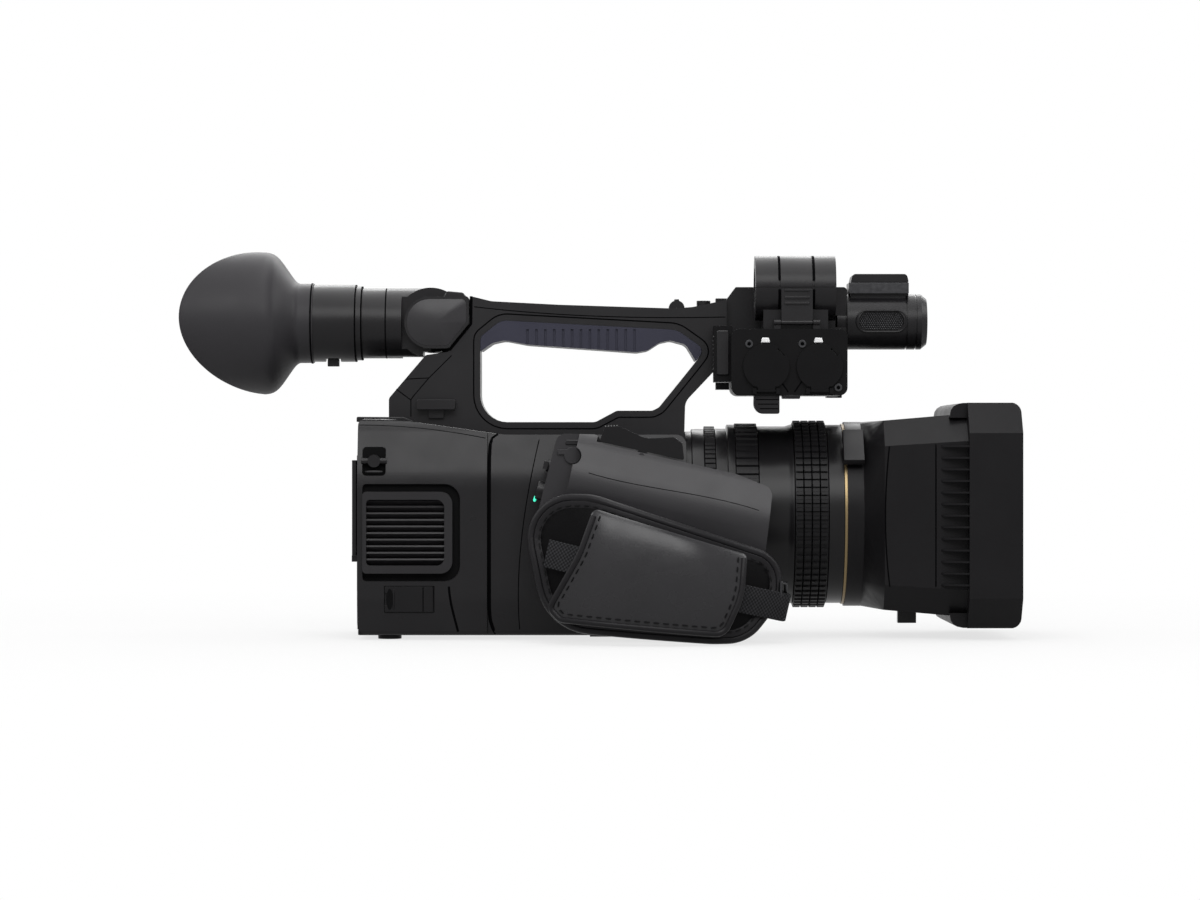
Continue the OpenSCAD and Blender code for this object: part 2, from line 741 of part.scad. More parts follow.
// Viewfinder: its tube lies along -X from the pivot

finder_end = finder_at.x - finder_len;
tube_end = finder_end + 22;

module tube_x(x0, x1, r_out, r_in) {
  difference() {
    rod_x(x0, x1, 0, finder_at.y, r_out);
    rod_x(x0 - 1, x1 + 1, 0, finder_at.y, r_in);
  }
}

module viewfinder_housing() {
  color(black) difference() {
    union() {
      tube_x(finder_end, tube_end, eyepiece_r, eyepiece_r - 2.5);
      tube_x(tube_end, tube_end + 3, eyepiece_r - 0.8, eyepiece_r - 3);
      rod_x(tube_end + 3, finder_at.x - 15, 0, finder_at.y, finder_r);
      intersection() {
        union() {
          intersection() {
            union() {
              rod_x(finder_at.x - 16, finder_at.x, 0, finder_at.y, finder_r);
              rod_y(-ear_gap, ear_gap, finder_at.x, finder_at.y, finder_r);
            }
            union() {
              box(-far, far, -far, far, finder_at.y, far);
              box(-far, finder_at.x - 4, -far, far, -far, far);
            }
          }
          rod_y(-ear_gap, ear_gap, finder_at.x, finder_at.y, finder_head_r);
        }
        box(-far, far, free - ear_gap, ear_gap - free, finder_at.y - finder_r + 0.8, far);
      }
    }
    rod_x(tube_end - 1, tube_end + 8, 0, finder_at.y, eyepiece_r - 6);
    rod_y(-far, far, finder_at.x, finder_at.y, pin_r + pin_gap);
    difference() {
      box(dioptre_x - 4, dioptre_x + 4, -8, 8, finder_at.y - eyepiece_r - 1,
        finder_at.y - eyepiece_r / 2);
      rod_x(-far, far, 0, finder_at.y, eyepiece_r - 1.8);
    }
  }
}

dioptre_x = finder_end + 10;

module eyepiece_lens() {
  color(glass) rod_x(finder_end + 4, finder_end + 10, 0, finder_at.y, eyepiece_r - 2.5 - fit);
}

module dioptre_lever() {
  color(charcoal) translate([dioptre_x, 0, finder_at.y]) difference() {
    box(-3, 3, -2.5, 2.5, -eyepiece_r - 2.4, 2 - eyepiece_r);
    rod_x(-far, far, 0, 0, eyepiece_r - 1.8 + free);
  }
}

// Eyecup: angle runs around the axis, 0 on the long side
// The step runs from the neck to the rim, once outside and once inside
cup_neck = finder_end;
neck_r = eyepiece_r + 0.6;
cup_flare = 26;
cup_knee = 20;
cup_lean = 4;
cup_wall = 1.8;
cup_n = 40;
// Places along the cup: a fixed length, and a share of what is left to the rim
cup_steps = [[0, 0], [8, 0], [9.5, 0], [14.8, 0], [cup_knee, 0], [cup_knee, 0.35], [cup_knee, 0.7], [cup_knee, 1]];
function cup_reach(a) = let (c = cos(a - cup_lean)) cup_flare + (cup_len - cup_flare) * pow(max(c, 0), 1.06)
  - 3 * max(-c, 0);
function cup_radius(d) = lookup(d, [[8, neck_r], [9.5, neck_r + 1.4], [cup_knee, cup_r - 1],
  [cup_knee + 3, cup_r - 0.2], [cup_flare, cup_r]]);
function cup_point(a, s, inset) = let (d = s[0] + s[1] * (cup_reach(a) - cup_knee), r = cup_radius(d) - inset)
  [cup_neck - d, -r * cos(a), finder_at.y + r * sin(a)];

module eyecup() {
  m = len(cup_steps);
  n = cup_n;
  points = concat([for (s = cup_steps, i = [0 : n - 1]) cup_point(i * 360 / n, s, 0)],
    [for (s = cup_steps, i = [0 : n - 1]) cup_point(i * 360 / n, s, cup_wall)]);
  function at(layer, j, i) = (layer * m + j) * n + i % n;
  faces = concat(
    [for (j = [0 : m - 2], i = [0 : n - 1]) each [[at(0, j, i), at(0, j + 1, i), at(0, j + 1, i + 1)],
      [at(0, j, i), at(0, j + 1, i + 1), at(0, j, i + 1)]]],
    [for (j = [0 : m - 2], i = [0 : n - 1]) each [[at(1, j, i), at(1, j + 1, i + 1), at(1, j + 1, i)],
      [at(1, j, i), at(1, j, i + 1), at(1, j + 1, i + 1)]]],
    [for (i = [0 : n - 1]) each [[at(0, m - 1, i), at(1, m - 1, i), at(1, m - 1, i + 1)],
      [at(0, m - 1, i), at(1, m - 1, i + 1), at(0, m - 1, i + 1)]]],
    [for (i = [0 : n - 1]) each [[at(0, 0, i), at(1, 0, i + 1), at(1, 0, i)],
      [at(0, 0, i), at(0, 0, i + 1), at(1, 0, i + 1)]]]);
  color(rubber) polyhedron(points, faces);
}

// Front of the handle

block_x0 = 44.6;
block_x1 = 107;
block_y0 = -11;
block_y1 = 22;
block_z0 = mid_top + 36;
block_z1 = mid_top + 76.5;
box_w = 59;
box_x0 = block_x0 + 1.3;
box_y = -52;
box_z0 = mid_top + 19.9;
box_z1 = mid_top + 53.7;
socket_z = mid_top + 34.5;
socket_xs = [box_x0 + 17.7, box_x0 + 17.7 + socket_pitch];
socket_depth = 14;
socket_r = 9.4;
clip_r = 1.2;
cap_t = 2;
cap_hinge = [box_y - 1.2, socket_z - cap_r - 0.8];

module front_block() {
  color(black) {
    difference() {
      along_y(block_y0, block_y1) outline([[block_x0, block_z0, 2], [block_x0, block_z1 - 6.5, 0.5],
        [block_x0 + 4.8, block_z1, 0.5], [block_x1, block_z1, 2], [block_x1, block_z0, 3]]);
      rod_x(block_x1 - 6, far, 0, mid_top + 58.8, built_in_r - 3);
    }
    for (z = [screen_z - screen_h / 2 - 4 - free, screen_z + screen_h / 2 + free])
      box(block_x1 - 9, block_x1 - 1, block_y1 - 1, screen_y + 3, z, z + 4);
    box(block_x1 - 9, block_x1 - 1, block_y1 - 4, block_y1, screen_z - screen_h / 2 - 4 - free,
      block_z0 + 2);
    box(block_x1 - 9, block_x1 - 1, block_y1 - 4, block_y1, block_z1 - 6, screen_z + screen_h / 2 + 4 + free);
    rod_z(screen_z - screen_h / 2 - 3, screen_z - screen_h / 2 + 5, screen_hinge.x, screen_hinge.y, screen_pin_r);
    rod_z(screen_z + screen_h / 2 - 5, screen_z + screen_h / 2 + 3, screen_hinge.x, screen_hinge.y, screen_pin_r);
    box(block_x0 + 10, block_x1 - 10, block_y0 - 2, block_y0 + 1, box_z1 - 16, box_z1 - 2);
  }
}

module connector_box() {
  color(black) {
    difference() {
      union() {
        along_y(box_y, block_y0 - 2 - fit) outline([[box_x0, box_z0, 4], [box_x0 + box_w, box_z0, 4],
          [box_x0 + box_w, box_z1, 4], [box_x0, box_z1, 4]]);
        box(box_x0 - 8.5, box_x0 + 1, -40, -20, box_z0 + 7, box_z1 + 2);
      }
      for (x = socket_xs) rod_y(box_y - 1, box_y + socket_depth, x, socket_z, cap_r - 1);
      for (x = screw_spots) rod_y(box_y - 1, box_y + 6, x.x, x.y, 1.3);
    }
    for (x = socket_xs) for (side = [-1, 1])
      difference() {
        box(x + side * 6 - 1, x + side * 6 + 1, box_y - 2.4, box_y + 0.5, cap_hinge.y - 1.4,
          cap_hinge.y + 1.4);
        rod_x(x - 9, x + 9, cap_hinge.x, cap_hinge.y, clip_r / 2 + pin_gap);
      }
  }
}

screw_spots = [[box_x0 + 9, box_z1 - 7.6], [box_x0 + 36, box_z1 - 7.6], [box_x0 + 54.3, box_z0 + 4]];

module panel_screws() {
  color(steel) for (s = screw_spots) {
    rod_y(box_y - 0.8, box_y, s.x, s.y, 2);
    rod_y(box_y - 0.2, box_y + 5.6, s.x, s.y, 1.2);
  }
}

module connector_sockets() {
  color(charcoal) for (x = socket_xs)
    difference() {
      rod_y(box_y + 0.4, box_y + socket_depth, x, socket_z, cap_r - 1 - fit);
      rod_y(box_y - 1, box_y + 3, x, socket_z, socket_r);
      for (a = [90, 210, 330])
        rod_y(box_y - 1, box_y + 12, x + 4.5 * cos(a), socket_z + 4.5 * sin(a), 1.4);
    }
}

module connector_cap(x) {
  color(charcoal) {
    difference() {
      rod_y(box_y - cap_t - 0.2, box_y - 0.2, x, socket_z, cap_r);
      translate([x, 0, socket_z]) rotate([0, -45, 0]) box(cap_r - 1.6, cap_r + 1, -far, 0, -2.5, 2.5);
      for (side = [-1, 1]) box(x + side * 6 - 1.4, x + side * 6 + 1.4, -far, 0, cap_hinge.y - 2,
        cap_hinge.y + 2.4);
    }
    box(x - 4.4, x + 4.4, cap_hinge.x - 0.9, cap_hinge.x + 0.8, cap_hinge.y, cap_hinge.y + 4);
    rod_x(x - 4.4, x + 4.4, cap_hinge.x, cap_hinge.y, 0.9);
    rod_x(x - 6.9, x + 6.9, cap_hinge.x, cap_hinge.y, clip_r / 2);
  }
}

module connector_cap_1() {
  connector_cap(socket_xs[0]);
}

module connector_cap_2() {
  connector_cap(socket_xs[1]);
}

module cable_clamp() {
  color(black) difference() {
    along_y(box_y + 1, box_y + 1 + clamp_t) outline([[box_x0 + 11.4, box_z0, 0], [box_x0 + 11.4, box_z0 - 9.3, 5],
      [box_x0 + 24.5, box_z0 - 9.3, 1], [box_x0 + 24.5, box_z0, 0]]);
    rod_x(-far, far, box_y + 1 + clamp_t / 2, box_z0 - 4.4, clamp_r);
  }
}

clamp_t = 8;
clamp_r = 2.2;

holder_x0 = 58.4;
holder_x1 = 99.4;
holder_at = [-33, mid_top + 75];
holder_hinge = [holder_at.x + holder_r + 2.4, holder_at.y + 2.2];
holder_pin_r = 0.8;
latch_pin_r = 0.6;
knuckle_r = 1.8;
latch_x0 = 71;
latch_x1 = 88;
latch_hinge = [holder_at.x - holder_r - 1.6, box_z1 + 3.4];

module holder_ring() {
  difference() {
    union() {
      rod_x(holder_x0, holder_x1, holder_at.x, holder_at.y, holder_r - 0.8);
      for (x = [[holder_x0, 12], [71, 16.2], [88.4, 11]]) rod_x(x[0], x[0] + x[1], holder_at.x,
        holder_at.y, holder_r);
    }
    rod_x(holder_x0 - 1, holder_x1 + 1, holder_at.x, holder_at.y, mic_r);
  }
}

module holder_base() {
  color(black) difference() {
    union() {
      intersection() {
        holder_ring();
        box(-far, far, -far, far, -far, holder_at.y - 0.1);
      }
      difference() {
        box(holder_x0 + 4, holder_x1 - 4, holder_at.x - 12, holder_at.x + 12, box_z1, holder_at.y - 8);
        rod_x(-far, far, holder_at.x, holder_at.y, mic_r + 2);
      }
      for (x = [holder_x0 + 6, holder_x1 - 12]) {
        box(x, x + 6, holder_at.x + 12, holder_hinge.x + 1.8, holder_at.y - 6, holder_at.y - 0.2);
        box(x, x + 6, holder_hinge.x - 1.8, holder_hinge.x + 1.8, holder_at.y - 1, holder_hinge.y);
        rod_x(x, x + 6, holder_hinge.x, holder_hinge.y, knuckle_r);
      }
      for (x = [latch_x0 + 0.5 - 4, latch_x1 - 0.5]) {
        box(x, x + 3.5, latch_hinge.x, holder_at.x - 10, box_z1, latch_hinge.y + 1.4);
        rod_x(x, x + 3.5, latch_hinge.x, latch_hinge.y, 1.4);
      }
    }
    rod_x(-far, far, holder_hinge.x, holder_hinge.y, holder_pin_r + pin_gap);
    rod_x(-far, far, latch_hinge.x, latch_hinge.y, latch_pin_r + pin_gap);
    rod_x(-far, far, holder_at.x, holder_at.y, mic_r);
  }
}

module holder_cap() {
  color(black) difference() {
    union() {
      intersection() {
        holder_ring();
        box(-far, far, -far, far, holder_at.y + 0.1, far);
      }
      rod_x(holder_x0 + 12.4, holder_x1 - 12.4, holder_hinge.x, holder_hinge.y, knuckle_r);
      box(holder_x0 + 12.4, holder_x1 - 12.4, holder_at.x + 14, holder_hinge.x, holder_at.y + 1,
        holder_hinge.y + 1.8);
      rod_x(holder_x0 + 6.2, holder_x1 - 6.2, holder_hinge.x, holder_hinge.y, holder_pin_r);
    }
    rod_x(-far, far, holder_at.x, holder_at.y, mic_r);
  }
}

module holder_latch() {
  color(charcoal) {
    box(latch_x0 + 0.3, latch_x1 - 0.8, latch_hinge.x - 1, latch_hinge.x + 0.9, latch_hinge.y,
      holder_at.y - 1);
    rod_x(latch_x0 + 0.3, latch_x1 - 0.8, latch_hinge.x, latch_hinge.y, 1.2);
    rod_x(latch_x0 - 3, latch_x1 + 2.6, latch_hinge.x, latch_hinge.y, latch_pin_r);
    for (z = [-9, -6, -2.2]) box(latch_x0 + 2, latch_x1 - 2.5, latch_hinge.x - 1.7, latch_hinge.x,
      holder_at.y + z, holder_at.y + z + 1.2);
  }
}

built_in_at = mid_top + 58.8;
built_in_x1 = 148.6;
shoe_z = built_in_at + built_in_r;

module built_in_microphone() {
  color(black) difference() {
    union() {
      rod_x(block_x1 + fit, built_in_x1 - 3, 0, built_in_at, built_in_r);
      translate([built_in_x1 - 3, 0, built_in_at]) rotate([0, 90, 0]) cylinder(h = 3,
        r1 = built_in_r, r2 = built_in_r - 2.5);
      rod_x(block_x1 - 5, block_x1 + 1, 0, built_in_at, built_in_r - 3.2);
      box(block_x1 + 2, 139, -8, 8, built_in_at + built_in_r - 4, shoe_z);
    }
    both_sides() along_y(-far, 2.2 - built_in_r) outline([[113, built_in_at - 5.2, 4.8], [136.4,
      built_in_at - 5.2, 4.8],
      [136.4, built_in_at + 5.2, 4.8], [113, built_in_at + 5.2, 4.8]]);
    for (x = [137.5, 142.5]) difference() {
      rod_x(x, x + 0.8, 0, built_in_at, built_in_r + 1);
      rod_x(x - 1, x + 2, 0, built_in_at, built_in_r - 0.7);
    }
  }
}

shoe_x0 = 108;
shoe_x1 = 139;
slot_hw = 9.35;
neck_hw = 6.3;
slot_h = 2.1;

module accessory_shoe() {
  color(steel) difference() {
    box(shoe_x0, shoe_x1, -11, 11, shoe_z, shoe_z + 2 + slot_h + 1.5);
    box(shoe_x0 + 2, far, -slot_hw, slot_hw, shoe_z + 2, shoe_z + 2 + slot_h);
    box(shoe_x0 + 2, far, -neck_hw, neck_hw, shoe_z + 2, far);
  }
}

module shoe_cover() {
  base = shoe_z + 2;
  color(black) {
    box(shoe_x0 + 2.4, shoe_x1, free - slot_hw, slot_hw - free, base + fit, base + slot_h - fit);
    box(shoe_x0 + 2.4, shoe_x1, free - neck_hw, neck_hw - free, base + fit, base + slot_h + 2);
    along_y(-10.5, 10.5) outline([[shoe_x0 + 1, base + slot_h + 1.5 + free, 0.5], [shoe_x0 + 2,
      base + slot_h + 6, 2],
      [shoe_x1 - 1, base + slot_h + 6, 2], [shoe_x1, base + slot_h + 1.5 + free, 0.5]]);
  }
}

screen_y = block_y1 + 1 + screen_t / 2;
screen_z = mid_top + 47.9;
screen_pin_r = 1.5;
screen_hinge = [block_x1 - 5, screen_y];

module screen_panel() {
  z0 = screen_z - screen_h / 2;
  color(black) difference() {
    union() {
      box(screen_hinge.x - screen_w, screen_hinge.x, screen_y - screen_t / 2,
        screen_y + screen_t / 2, z0, z0 + screen_h);
      rod_z(z0, z0 + screen_h, screen_hinge.x, screen_hinge.y, screen_t / 2);
    }
    box(screen_hinge.x - screen_w + 5, screen_hinge.x - 9, screen_y - screen_t / 2 - 1,
      screen_y - screen_t / 2 + 1.2, z0 + 5, z0 + screen_h - 5);
    rod_z(z0 - 1, z0 + 5.6, screen_hinge.x, screen_hinge.y, screen_pin_r + pin_gap);
    rod_z(z0 + screen_h - 5.6, far, screen_hinge.x, screen_hinge.y, screen_pin_r + pin_gap);
  }
}

module screen_glass() {
  z0 = screen_z - screen_h / 2;
  color(glass) box(screen_hinge.x - screen_w + 5 + fit, screen_hinge.x - 9 - fit,
    screen_y - screen_t / 2 + 0.3,
    screen_y - screen_t / 2 + 1.2, z0 + 5 + fit, z0 + screen_h - 5 - fit);
}

// Lens: sections along the axis, measured from the casing front

lens_x = body_front;
iris = [10.1, 15.3, 45.5];
zoom = [25.9, 37.1, 47];
focus = [55.9, 72.6, 48.5];
bore_r = 35;
front_end = 93;

module turned_x(x0, x1, r) {
  rod_x(lens_x + x0, lens_x + x1, 0, lens_z, r);
}

// Ring with straight ribs: outline with count teeth of the given depth
function ribbed(count, r, depth) = [for (i = [0 : count - 1], k = [0 : 3])
  let (a = 360 * (i + [0, 0.12, 0.5, 0.62][k]) / count,
    q = r - (k == 1 || k == 2 ? 0 : depth)) [q * cos(a), q * sin(a)]];

module ribbed_x(x0, x1, count, r, depth) {
  translate([lens_x + x0, 0, lens_z]) rotate([0, 90,
    0]) linear_extrude(x1 - x0) polygon(ribbed(count, r, depth));
}

module lens_barrel_rear() {
  color(black) difference() {
    union() {
      turned_x(-13, 0, spigot_r);
      turned_x(0, 3.4, 42.8);
      turned_x(3.4, iris[0] - 0.3, 44.1);
      turned_x(0, zoom[1] + 0.4, sleeve_r);
      turned_x(iris[1] + 0.3, 21.7, 44.3);
      turned_x(21.7, zoom[0] - 0.2, 46.4);
    }
    turned_x(-14, 40, bore_r - 2);
  }
}

module lens_barrel_mid() {
  color(black) difference() {
    union() {
      turned_x(zoom[1] + 0.4, 52, 45.5);
      translate([lens_x + 52, 0, lens_z]) rotate([0, 90, 0]) cylinder(h = focus[0] - 0.4 - 52,
        r1 = 45.5, r2 = 46.6);
      turned_x(zoom[1] + 0.4, focus[1] + 0.4, sleeve_r);
    }
    turned_x(0, far, bore_r);
  }
}

module lens_barrel_front() {
  color(black) difference() {
    union() {
      turned_x(focus[1] + 0.4, 81, 46.3);
      turned_x(81, 82.4, 44.5);
      turned_x(82.4, front_end, 45.2);
    }
    turned_x(0, far, bore_r);
    turned_x(front_end - 5, far, filter_r);
  }
}

module trim_ring() {
  color(gold) difference() {
    turned_x(81 + fit, 82.4, 46.8);
    turned_x(0, far, 44.5 + 0.02);
  }
}

dome_r = 78;
dome_steps = 6;
dome = [for (i = [0 : dome_steps]) let (q = glass_r * (1 - i / dome_steps))
  [q, front_end - 6 - dome_r + sqrt(dome_r * dome_r - q * q)]];

module lens_elements() {
  color(glass) {
    translate([lens_x, 0, lens_z]) rotate([0, 90, 0]) rotate_extrude()
      polygon(concat([[0, 72], [bore_r - fit / 2, 72], [bore_r - fit / 2, 78], [glass_r, 78]], dome));
    turned_x(-8, -2, bore_r - 2 - fit / 2);
  }
}

module ring_on(x, count, depth) {
  difference() {
    ribbed_x(x[0], x[1], count, x[2], depth);
    turned_x(0, far, sleeve_r + ring_gap);
  }
}

module iris_ring() {
  color(black) ring_on(iris, 90, 0.6);
}

module zoom_ring() {
  color(black) ring_on(zoom, 60, 1);
}

module focus_ring() {
  pitch = (focus[1] - focus[0]) / 4;
  color(black) difference() {
    union() {
      turned_x(focus[0], focus[1], focus[2] - 1.1);
      for (i = [0 : 3]) ribbed_x(focus[0] + i * pitch + 0.4, focus[0] + (i + 1) * pitch - 0.4, 72,
        focus[2], 1.4);
    }
    turned_x(0, far, sleeve_r + ring_gap);
  }
}

// Hood: round collar, eight-sided body and front frame

hood_x = lens_x + 82.5;
hood_end = hood_x + hood_len;
collar_r = 47.8;
throat_x = hood_x + 18;
frame_x = hood_end - 27;
body_hh = 51.6;
body_hw = 60;

function eight(hw, hh) = [[-hw, -hh * 0.73], [-hw * 0.8, -hh], [hw * 0.8, -hh], [hw, -hh * 0.73],
  [hw, hh * 0.73], [hw * 0.8, hh], [-hw * 0.8, hh], [-hw, hh * 0.73]];

module slice(x, hw, hh) {
  translate([0, 0, lens_z]) along_x(x, x + 0.01) polygon(eight(hw, hh));
}

module hood_form(i) {
  hull() {
    rod_x(hood_x + 8 + i, hood_x + 9 + i, 0, lens_z, collar_r - i - 0.2, $fn = 32);
    slice(throat_x + i / 2, body_hw - 3 - i, body_hh - 3.4 - i);
  }
  hull() {
    slice(throat_x + i / 2, body_hw - 3 - i, body_hh - 3.4 - i);
    slice(frame_x + 3, body_hw - i, body_hh + 0.4 - i);
  }
}

module frame_form(i) {
  translate([0, 0, lens_z]) along_x(frame_x + i, hood_end + i) polygon(eight(frame_hw - i, frame_hh - i));
}

fin_pitch = body_hh * 1.36 / (fins - 1);
fin_len = 14;
flap_x = throat_x + 4;
flap_z = body_hh - 9.6;
flap_inset = 15;
flap_hw = body_hw - flap_inset;
flap_t = 2;
flap_pin_r = 1.5;
lock_angle = 42;
lock_x = hood_x + 4.3;
lock_hw = 10.5;
lever_x = hood_x + 33;
lever_travel = 12;

// Lips in front of the fins: the top and bottom of the frame sweep back on to the body
lip_hw = frame_hw * 0.8 - 2;
lip = [[-9, -7.6], [-8.2, -3.7], [-7, -1.9], [-5, -0.7], [-2, -0.1], [2, -0.1], [2, -7.6]];

module lips() {
  for (side = [-1, 1])
    along_y(-lip_hw, lip_hw) polygon([for (p = lip) [frame_x + p.x, lens_z + side * (frame_hh + p.y)]]);
}

// Side view of the hood: the front corners of the frame are round
frame_round = 5;
hood_side = [[hood_x - 1, lens_z - frame_hh - fit, 0], [hood_end, lens_z - frame_hh - fit, frame_round],
  [hood_end, lens_z + frame_hh + fit, frame_round], [hood_x - 1, lens_z + frame_hh + fit, 0]];

module hood_shell() {
  color(black) difference() {
    union() {
      hood_form(0);
      intersection() {
        frame_form(0);
        along_y(-far, far) outline(hood_side);
      }
      lips();
      rod_x(hood_x, hood_x + 9, 0, lens_z, collar_r);
      for (side = [-1, 1], i = [0 : fins - 1])
        translate([frame_x, side * body_hw, lens_z + (i - (fins - 1) / 2) * fin_pitch])
          along_y_fin(side);
    }
    hood_form(hood_wall);
    frame_form(hood_wall);
    rod_x(hood_x - 1, hood_x + 14, 0, lens_z, 45.2 + fit);
    for (side = [-1, 1]) rod_y(-flap_pin_y - free, flap_pin_y + free, flap_x,
      lens_z + side * flap_z, flap_pin_r + 0.08);
    rotate_lock() box(lock_x - 2.1, lock_x + 2.1, -2.1, 2.1, 40, far);
    box(lever_x - 2.2, lever_x + 2.2, -lever_travel - 3.5, 1.5, -far, lens_z - body_hh + 8);
  }
}

module along_y_fin(side) {
  linear_extrude(0.9, center = true)
    polygon([[-fin_len, -side * 1.5], [-fin_len + 2, side * 1.2], [1,
      side * (frame_hw - body_hw - 0.6)], [1, -side * 1.5]]);
}

module rotate_lock() {
  translate([0, 0, lens_z]) rotate([90 - lock_angle, 0, 0]) children();
}

module hood_lock() {
  color(charcoal) rotate_lock() {
    box(lock_x - 6.4, lock_x + 4.2, -lock_hw, lock_hw, collar_r + 2.2, collar_r + 6);
    box(lock_x - 1.8, lock_x + 1.8, -1.8, 1.8, collar_r - 0.8, collar_r + 3);
  }
}

module shutter(side) {
  translate([flap_x, 0, lens_z + side * flap_z]) {
    along_y(-flap_hw, flap_hw) outline([[-1.2, -1.2, 0.8], [flap_len, -flap_t / 2, 0.4], [flap_len,
      flap_t / 2, 0.4], [-1.2, 1.2, 0.8]]);
    rod_y(-flap_pin_y, flap_pin_y, 0, 0, flap_pin_r);
  }
}

flap_pin_y = body_hw - 11.2;

module shutter_upper() {
  color(black) shutter(1);
}

module shutter_lower() {
  color(black) shutter(-1);
}

module shutter_lever() {
  low = lens_z - body_hh + 2;
  high = low + hood_wall;
  color(charcoal) {
    box(lever_x - 4.8, lever_x + 4.8, -4, 2, low - 7, low - 0.9);
    box(lever_x - 1.8, lever_x + 1.8, -3, 1, low - 2, high + 1.2);
    box(lever_x - 4, lever_x + 4, -4, 2, high + 0.9, high + 2);
  }
}

right_rear_cover();
right_mid_cover();
left_cover();
rear_panel();
base_plate();
tripod_plate();
rubber_feet();
main_board();
sensor_block();
fan_housing();
fan_rotor();
vent_grille();
battery_pack();
card_door();
terminal_cover();
grip_shell();
zoom_rocker();
record_button();
power_switch();
remote_cap();
belt_pad();
belt_flap();
belt_webbing();
handle_frame();
handle_grip_pad();
handle_zoom_lever();
handle_record_button();
strap_lug();
viewfinder_housing();
eyepiece_lens();
eyecup();
dioptre_lever();
front_block();
connector_box();
connector_sockets();
connector_cap_1();
connector_cap_2();
panel_screws();
cable_clamp();
holder_base();
holder_cap();
holder_latch();
built_in_microphone();
accessory_shoe();
shoe_cover();
screen_panel();
screen_glass();
lens_barrel_rear();
lens_barrel_mid();
lens_barrel_front();
trim_ring();
lens_elements();
iris_ring();
zoom_ring();
focus_ring();
hood_shell();
hood_lock();
shutter_upper();
shutter_lower();
shutter_lever();
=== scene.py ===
"""Handheld camcorder: finishes for the frame's nodes, and the soft and fine pieces as numpy surfaces.

All shapes are written in millimetres in the frame's axes: +X along the lens, -Y to the
operator's right, +Z up, with the tripod thread at the origin.
"""
import math

import bmesh
import bpy
import numpy as np
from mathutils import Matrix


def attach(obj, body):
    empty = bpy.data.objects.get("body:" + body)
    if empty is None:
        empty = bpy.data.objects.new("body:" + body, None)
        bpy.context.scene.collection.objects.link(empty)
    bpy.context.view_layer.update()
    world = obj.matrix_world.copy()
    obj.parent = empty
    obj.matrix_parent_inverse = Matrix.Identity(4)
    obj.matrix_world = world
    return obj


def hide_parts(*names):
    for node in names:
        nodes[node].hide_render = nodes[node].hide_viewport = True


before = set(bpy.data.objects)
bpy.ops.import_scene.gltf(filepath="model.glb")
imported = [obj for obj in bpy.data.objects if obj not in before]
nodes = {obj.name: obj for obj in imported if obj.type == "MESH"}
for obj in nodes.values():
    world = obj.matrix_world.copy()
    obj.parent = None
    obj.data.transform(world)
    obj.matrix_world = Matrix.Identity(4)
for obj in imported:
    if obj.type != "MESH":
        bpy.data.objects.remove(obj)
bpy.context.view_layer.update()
MM = 0.001
TAU = 2 * math.pi
ACROSS = (0, 1, 0)
SIDES = (("right", -1.0), ("left", 1.0))


# Shapes as whole arrays

def grid_faces(rows, cols, wrap_rows, wrap_cols):
    """Four corners of each cell of a rows by cols grid, numbered row by row.

    A wrapped side joins its last line to its first.
    """
    r = np.arange(rows if wrap_rows else rows - 1)
    c = np.arange(cols if wrap_cols else cols - 1)
    a, b = np.meshgrid(r, c, indexing="ij")
    up, over = (a + 1) % rows, (b + 1) % cols
    return np.stack([a * cols + b, a * cols + over, up * cols + over, up * cols + b], -1).reshape(-1, 4)


def piece(name, points, body, finish, wrap=(False, True), caps=True, uv=None, sharp=40, stands_for=()):
    """One mesh from points: a grid of rows by columns, or several equal grids stacked in front of it.

    Rows that close on themselves are wrapped; open ends get one face each where caps is set.
    """
    points = np.asarray(points, float)
    stack = points if points.ndim == 4 else points[None]
    count, rows, cols = stack.shape[:3]
    quads = grid_faces(rows, cols, *wrap)
    faces = (quads[None] + (np.arange(count) * rows * cols)[:, None, None]).reshape(-1, 4).tolist()
    if caps and not wrap[0]:
        starts = np.arange(count)[:, None] * rows * cols
        first = starts + np.arange(cols)[::-1]
        last = starts + (rows - 1) * cols + np.arange(cols)
        faces += first.tolist() + last.tolist()
    mesh = bpy.data.meshes.new(name)
    mesh.from_pydata((stack.reshape(-1, 3) * MM).tolist(), [], faces)
    if uv is not None:
        layer = mesh.uv_layers.new(name="UVMap")
        corners = np.empty(len(mesh.loops), np.int32)
        mesh.loops.foreach_get("vertex_index", corners)
        layer.data.foreach_set("uv", np.asarray(uv, float).reshape(-1, 2)[corners].ravel())
    work = bmesh.new()
    work.from_mesh(mesh)
    bmesh.ops.remove_doubles(work, verts=work.verts, dist=1e-7)
    bmesh.ops.recalc_face_normals(work, faces=work.faces)
    work.to_mesh(mesh)
    work.free()
    mesh.shade_smooth()
    mesh.set_sharp_from_angle(angle=math.radians(sharp))
    thing = bpy.data.objects.new(name, mesh)
    bpy.context.scene.collection.objects.link(thing)
    mesh.materials.append(finish)
    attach(thing, body)
    if stands_for:
        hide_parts(*stands_for)
    return thing


